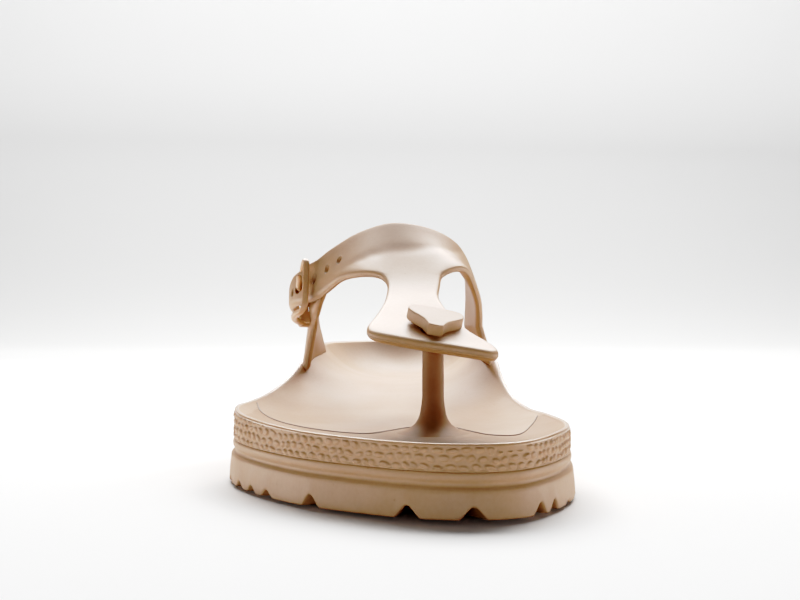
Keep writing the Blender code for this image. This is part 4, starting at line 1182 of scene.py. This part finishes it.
def strap_marks_and_shade(bench, place):
    """The parting line half way through the edge, painted shade on the walls of the holes, and painted shade
    with duller foam on the instep behind the crease.
    """
    through, bore, behind = (bench.layer(name) for name in ("through", "bore", "behind_crease"))
    line = (1.0 - (through - 0.46).size().step(0.05, 0.16)) * (1.0 - bore)
    return line * 0.0002, (line * 0.12 + bore * 0.97 + behind * 0.2).least(1.0), behind * -0.12


strap_foam = foam("strap_foam_look", 0.46, 0.00003, strap_marks_and_shade)
frames = [band_frame(reach) for reach in HOLE_REACHES]
places = [skin(girth, station, lift + STRAP_THICKNESS / 2.0) for girth, station, lift, _, _ in frames]
axes = [normal for *_, normal in frames]
ways = [np.cross(across, normal) for *_, across, normal in frames]
pin = lathe("strap_punch", HOLE_PROFILE, 32)
punch(t_strap, strap_foam, pin, places, axes, ways, [(1.0, HOLE_LONGER, 1.0)] * len(places))
half_width, half_length = POST.row(POST_HOLE_LEVEL) + POST_HOLE_GAP
bore = lathe("post_punch", [(1.0, -POST_HOLE_HALF), (1.0, POST_HOLE_HALF)], 40)
punch(t_strap, strap_foam, bore, [(POST_X, POST_STATION, post_floor + POST_HOLE_MIDDLE)],
      [(0.0, 0.0, 1.0)], [(1.0, 0.0, 0.0)], [(half_width, half_length, 1.0)])
print("strap has", len(t_strap.data.polygons), "faces after punching")

# %% [markdown]
# ## The buckle
# On the outer side a short tab rises from the sole and carries a small buckle, coloured
# like the foam. Its frame is a bent rod: a free bar over the strap, a pivot bar that two
# keepers hold on the tab, and two arms that bow outwards. The frame is lofted along its
# path with a rounded section. The prong starts with a saddle on the pivot bar, comes up
# through the strap and rests on the free bar.

# %% Buckle directions
BAR_WIDTH, BAR_HEIGHT, WINDOW_LENGTH = 2.1, 2.3, 18.0
FRAME_CORNER, FRAME_SHIFT = 2.8, -2.5
FRAME_BOW_REAR, FRAME_BOW_FRONT = 1.2, 3.6
FRAME_DRAW_REAR, FRAME_DRAW_FRONT = 0.8, 3.6
FREE_BAR_REACH, PIVOT_BAR_REACH, FREE_BAR_GAP, PIVOT_BAR_LIFT = -35.0, -52.0, 1.5, 3.4
PRONG_RADIUS, PRONG_OVERHANG, PRONG_SIDES, PRONG_TIP = 0.9, 1.6, 18, (0.97, 0.85, 0.5)
PRONG_HOLE_RADIUS, PRONG_HOLE_HALF = 2.2, 6.8
SADDLE_WIDTH, SADDLE_WALL, KEEPER_WALL = 2.2, 0.7, 0.8
KEEPERS = (("front", -7.0, 4.4), ("rear", 3.4, 2.6))
girth, station, lift, across, _ = band_frame(FREE_BAR_REACH)
free = skin(girth, station, lift + STRAP_THICKNESS + FREE_BAR_GAP + BAR_HEIGHT / 2.0)
girth, station, _, _, _ = band_frame(PIVOT_BAR_REACH)
pivot = skin(girth, station, PIVOT_BAR_LIFT + BAR_HEIGHT / 2.0)
bar_reach = np.linalg.norm(pivot - free)
along = (pivot - free) / bar_reach
across = across - along * np.dot(across, along)
across /= np.linalg.norm(across)
outward = np.cross(across, along)
print("bars are", round(bar_reach, 1), "mm apart")


# %% Buckle frame
def round_section(width, height, count):
    """A rounded square section, as shares across and outwards in mm."""
    turn = full_turn(count)
    shape = np.column_stack([np.cos(turn), np.sin(turn)])
    shape = np.sign(shape) * np.abs(shape) ** 0.62
    return shape * (width / 2.0, height / 2.0)


half_across, half_along = (WINDOW_LENGTH + BAR_WIDTH) / 2.0, bar_reach / 2.0
centre = (free + pivot) / 2.0 + FRAME_SHIFT * across
path = []
for corner, (side_way, end) in enumerate(((1.0, 1.0), (-1.0, 1.0), (-1.0, -1.0), (1.0, -1.0))):
    arm = half_along - FRAME_CORNER
    for angle in np.linspace(0.0, math.pi / 2.0, 9) + corner * math.pi / 2.0:
        path.append((side_way * (half_across - FRAME_CORNER) + FRAME_CORNER * math.cos(angle),
                     end * arm + FRAME_CORNER * math.sin(angle), math.cos(angle), math.sin(angle)))
    if side_way != end:
        path += [(side_way * half_across, end * share * arm, side_way, 0.0)
                 for share in np.linspace(1, -1, 13)[1:-1]]
    else:
        path += [(side_way * share * (half_across - FRAME_CORNER), end * half_along, 0.0, end)
                 for share in np.linspace(1, -1, 9)[1:-1]]
section = round_section(BAR_WIDTH, BAR_HEIGHT, 20)
rings = []
for a, b, da, db in path:
    draw, bow = (FRAME_DRAW_REAR, FRAME_BOW_REAR) if a > 0.0 else (FRAME_DRAW_FRONT, FRAME_BOW_FRONT)
    drawn = 1.0 - draw * (b / half_along + 1.0) / 2.0 / half_across
    spot = centre + a * drawn * across + b * along + bow * (1.0 - (b / half_along) ** 2) * outward
    rings.append(spot + section[:, :1] * (da * across + db * along) + section[:, 1:] * outward)
rings.append(rings[0])
buckle_rod = new_piece("buckle_rod", np.vstack(rings), strip_faces(len(rings), len(section)))
# The buckle is painted a quarter brighter than the foam: painted light on its bars and keepers.
buckle_look = foam("buckle_look", 0.38, 0.00002, shade=1.25)
dress(buckle_rod, buckle_look, "buckle_plastic", "buckle_frame")


# %% Prong and keepers
def rod_rings(points, radii, side_way, count):
    """Round rings of changing radius along a path that bends in one plane."""
    runs = np.gradient(points, axis=0)
    runs /= np.linalg.norm(runs, axis=1)[:, None]
    turn = full_turn(count)
    cosine, sine = np.cos(turn)[:, None], np.sin(turn)[:, None]
    return [point + radius * (cosine * side_way + sine * np.cross(run, side_way))
            for point, run, radius in zip(points, runs, radii)]


def loop_over_bar(name, place, width, wall, slot):
    """A strap of plastic that bends over the pivot bar and goes down on both sides."""
    inner = np.array(slot)
    turn = np.linspace(0.0, math.pi, 15)
    arch = np.column_stack([np.cos(turn), np.sin(turn)])
    arch = np.sign(arch) * np.abs(arch) ** 0.6
    feet = -BAR_HEIGHT / 2.0 - 0.7
    rows = []
    for grow in (0.0, wall):
        line = arch * (inner + grow)
        rows.append(np.vstack([[(line[0, 0], feet)], line, [(line[-1, 0], feet)]]))
    outline = np.vstack([rows[1], rows[0][::-1]])
    rings = []
    for share, pinch in ((-1.0, 0.16), (-0.93, 0.04), (-0.8, 0.0), (0.8, 0.0), (0.93, 0.04), (1.0, 0.16)):
        heart = (rows[0] + rows[1]) / 2.0
        heart = np.vstack([heart, heart[::-1]])
        flat = outline + pinch / wall * (heart - outline)
        middle = pivot + (place + share * width / 2.0) * across
        rings.append(middle + flat[:, :1] * along + flat[:, 1:] * outward)
    count = len(outline)
    faces = strip_faces(len(rings), count).tolist()
    half = count // 2
    for base in (0, (len(rings) - 1) * count):
        faces += [(base + i, base + i + 1, base + count - 2 - i, base + count - 1 - i)
                  for i in range(half - 1)]
    made = new_piece(name, np.vstack(rings), faces)
    crisp(made, 55.0)
    return made


rest = BAR_HEIGHT / 2.0 + FIT_GAP + PRONG_RADIUS
steps = ((bar_reach - 1.6, 0.1), (bar_reach - 3.4, -0.8), (bar_reach - 6.4, 0.0), (bar_reach * 0.4, 2.4),
         (3.0, rest), (-PRONG_OVERHANG, rest))
prong_line = rounded_path([free + distance * along + height * outward for distance, height in steps], 8)
radii = np.full(len(prong_line), PRONG_RADIUS)
radii[-len(PRONG_TIP):] *= PRONG_TIP
rings = rod_rings(prong_line, radii, across, PRONG_SIDES)
prong_pin = new_piece("prong_pin", np.vstack(rings), capped_faces(len(rings), PRONG_SIDES))
crisp(prong_pin, 60.0)
slot = (BAR_WIDTH / 2.0 + FIT_GAP, BAR_HEIGHT / 2.0 + FIT_GAP)
prong_saddle = loop_over_bar("prong_saddle", 0.0, SADDLE_WIDTH, SADDLE_WALL, slot)
for made in (prong_pin, prong_saddle):
    dress(made, buckle_look, "buckle_plastic", "buckle_prong")
keepers = [loop_over_bar("keeper_" + name, place, width, KEEPER_WALL, slot)
           for name, place, width in KEEPERS]

# %% [markdown]
# ### Prong hole and tab
# The prong needs a longer hole of its own in the strap, cut along the prong's direction.
# The tab is a strap sheet like the other one, only shorter. Its foot goes down into the
# sole beside the rim, and its top goes on a little way under the strap.

# %% Finish the strap and make the tab
corner_low, corner_high = (free + distance * along + height * outward for distance, height in steps[2:4])
prong_way = (corner_high - corner_low) / np.linalg.norm(corner_high - corner_low)
slit = lathe("prong_punch", [(PRONG_HOLE_RADIUS, way * PRONG_HOLE_HALF) for way in (-1.0, 1.0)], 32)
punch(t_strap, strap_foam, slit, [(corner_low + corner_high) / 2.0], [prong_way], [across],
      [(1.0, 1.0, 1.0)])
crisp(t_strap, 48.0)
dress(t_strap, strap_foam, "strap_foam", "upper")

TAB_HIDDEN, TAB_WIDER, TAB_LIFT_FRONT, TAB_LIFT_REAR = 4.0, 5.0, 1.2, 0.6
drops = np.linspace(-TAB_HIDDEN, TAB.knots[-1], 45)
more, upper = np.maximum(-drops, 0.0), soft_step(22.0, 9.0, drops)
rows = []
for row, over, share in zip(TAB.row(np.maximum(drops, 0.0)), more, upper):
    front = (row[0] + over, row[1] - TAB_WIDER * share, TAB_LIFT_FRONT * share)
    rows.append(row_across(front, (row[2] + over, row[3], TAB_LIFT_REAR * share), 8))
tab_nodes = [node for row in rows for node in row]
side_tab = strap_piece("side_tab", tab_nodes, grid_faces(len(rows), len(rows[0])), TAB_THICKNESS,
                       lambda station: np.full(len(station), TAB_THICKNESS))
dress(side_tab, strap_foam, "strap_foam", "lateral_tab")
for keeper in keepers:
    dress(keeper, buckle_look, "buckle_plastic", "lateral_tab")

# %% [markdown]
# ## Floor, light and camera
# The photograph is a high-key studio picture: a white floor runs into a white background
# and the light comes from high behind the shoe, so the tops are pale and the faces that
# look at the camera stay dark. A sheet of paper that bends up makes floor and background
# in one piece. It lies a little under the sole, which leaves the dark line of contact that
# the picture has, and a grey band of painted shade lies on its bend, as the background is
# greyer at half its height.

# %% Stage
FLOOR_SIDE, FLOOR_END, BEND, FLOOR_GAP = 1.3, 1.5, 1.1, 0.0008
sweep = [(-2.0, 0.0), (-0.6, 0.0), (FLOOR_END, 0.0)]
sweep += [(FLOOR_END + BEND * math.sin(turn), BEND - BEND * math.cos(turn))
          for turn in np.linspace(0.1, math.pi / 2.0, 14)]
sweep += [(FLOOR_END + BEND, 3.4)]
mesh = bpy.data.meshes.new("studio_sweep")
mesh.from_pydata([(x, y, z - FLOOR_GAP) for y, z in sweep for x in (-FLOOR_SIDE, FLOOR_SIDE)], [],
                 [(2 * i, 2 * i + 1, 2 * i + 3, 2 * i + 2) for i in range(len(sweep) - 1)])
mesh.shade_smooth()
studio_sweep = add_object("studio_sweep", mesh)
paper, bench = start_material("white_paper")
place = bench.node("ShaderNodeTexCoord", None, None, out="Object")
back, high = (bench.node("ShaderNodeSeparateXYZ", None, {0: place}, out=axis) for axis in (1, 2))
tone = bench.mix(bench.noise(place, 3.0), (0.91, 0.91, 0.905, 1.0), (0.93, 0.93, 0.928, 1.0))
# Painted shade: a grey band on the lower bend of the paper.
tone = bench.mix(back.step(0.1, 1.1) * (1.0 - high.step(0.05, 0.65)), tone, (0.50, 0.50, 0.497, 1.0))
shader = bench.node("ShaderNodeBsdfPrincipled", None, {"Base Color": tone, "Roughness": 0.8})
bench.node("ShaderNodeOutputMaterial", None, {"Surface": shader})
mesh.materials.append(paper)


# %% [markdown]
# ### Light
# One large area light high behind the shoe is the key, and a wide one washes the
# background. Three low strips, at the left, at the right and in front, stand for the walls
# of the room: they lift the sides a little, and the front one is slightly cool. The air
# gives almost no light, or the shadows would fill up; where the camera looks past the
# paper, as in other views, it sees pale air.

# %% Lights and air
def soft_light(name, place, aim, width, height, power, colour=(1.0, 1.0, 1.0)):
    light = bpy.data.lights.new(name, "AREA")
    light.shape, light.size, light.size_y = "RECTANGLE", width, height
    light.energy, light.color = power, colour
    lamp = add_object(name, light)
    lamp.location = place
    lamp.rotation_euler = (Vector(aim) - Vector(place)).to_track_quat("-Z", "Y").to_euler()


soft_light("high_back", (0.05, 1.3, 1.42), (0.0, 0.0, 0.03), 2.0, 1.1, 79.0)
soft_light("backdrop_wash", (0.0, 1.8, 1.7), (0.0, 2.6, 1.0), 3.0, 0.5, 33.0)
soft_light("left_strip", (-1.0, 0.2, 0.09), (0.0, 0.0, 0.04), 1.2, 0.14, 4.1)
soft_light("right_strip", (1.0, 0.2, 0.09), (0.0, 0.0, 0.04), 1.2, 0.14, 3.8)
soft_light("front_strip", (0.0, -1.3, 0.11), (0.0, 0.0, 0.04), 1.6, 0.2, 4.6, (0.95, 1.0, 1.12))
sky = bpy.data.worlds.new("studio_air")
sky.use_nodes = True
sky.node_tree.nodes.clear()
bench = Bench(sky.node_tree)
air, wall = (bench.node("ShaderNodeBackground", None, {"Color": (1.0, 1.0, 1.0, 1.0), "Strength": strength})
             for strength in (0.03, 0.95))
seen = bench.node("ShaderNodeLightPath", None, None, out="Is Camera Ray")
both = bench.node("ShaderNodeMixShader", None, {0: seen, 1: air, 2: wall})
bench.node("ShaderNodeOutputWorld", None, {"Surface": both})
bpy.context.scene.world = sky

# %% [markdown]
# ### Film
# The picture was printed with contrast: dark tones are pressed together towards black and
# pale ones roll off softly towards white. A curve in the view settings does the same. Its
# points pair a tone of light with a tone of the print.

# %% Film curve
FILM_CURVE = [(0.0, 0.0), (0.04, 0.005), (0.08, 0.038), (0.14, 0.125), (0.22, 0.225), (0.6, 0.61),
              (0.85, 0.765), (1.1, 0.87), (1.4, 1.0)]
view = bpy.context.scene.view_settings
view.view_transform = "Standard"
view.use_curve_mapping = True
film = view.curve_mapping
film.use_clip = False
tones = film.curves[3].points
tones[0].location, tones[1].location = FILM_CURVE[0], FILM_CURVE[-1]
for light, print_tone in FILM_CURVE[1:-1]:
    tones.new(light, print_tone)
film.update()

# %% [markdown]
# ### Camera
# The camera stands low, 300 mm in front of the toe and 49 mm over the floor, and looks
# almost level along the shoe.

# %% Camera
CAMERA_BEFORE_TOE, CAMERA_HEIGHT, CAMERA_TILT, CAMERA_LENS = 300.0, 49.0, 90.66, 57.0
camera_data = bpy.data.cameras.new("shoe_camera")
camera_data.sensor_width, camera_data.lens = 36.0, CAMERA_LENS
camera_data.clip_start = 0.01
camera = add_object("shoe_camera", camera_data)
camera.location = world([(0.0, -CAMERA_BEFORE_TOE, CAMERA_HEIGHT)])[0]
camera.rotation_euler = (math.radians(CAMERA_TILT), 0.0, 0.0)
bpy.context.scene.camera = camera
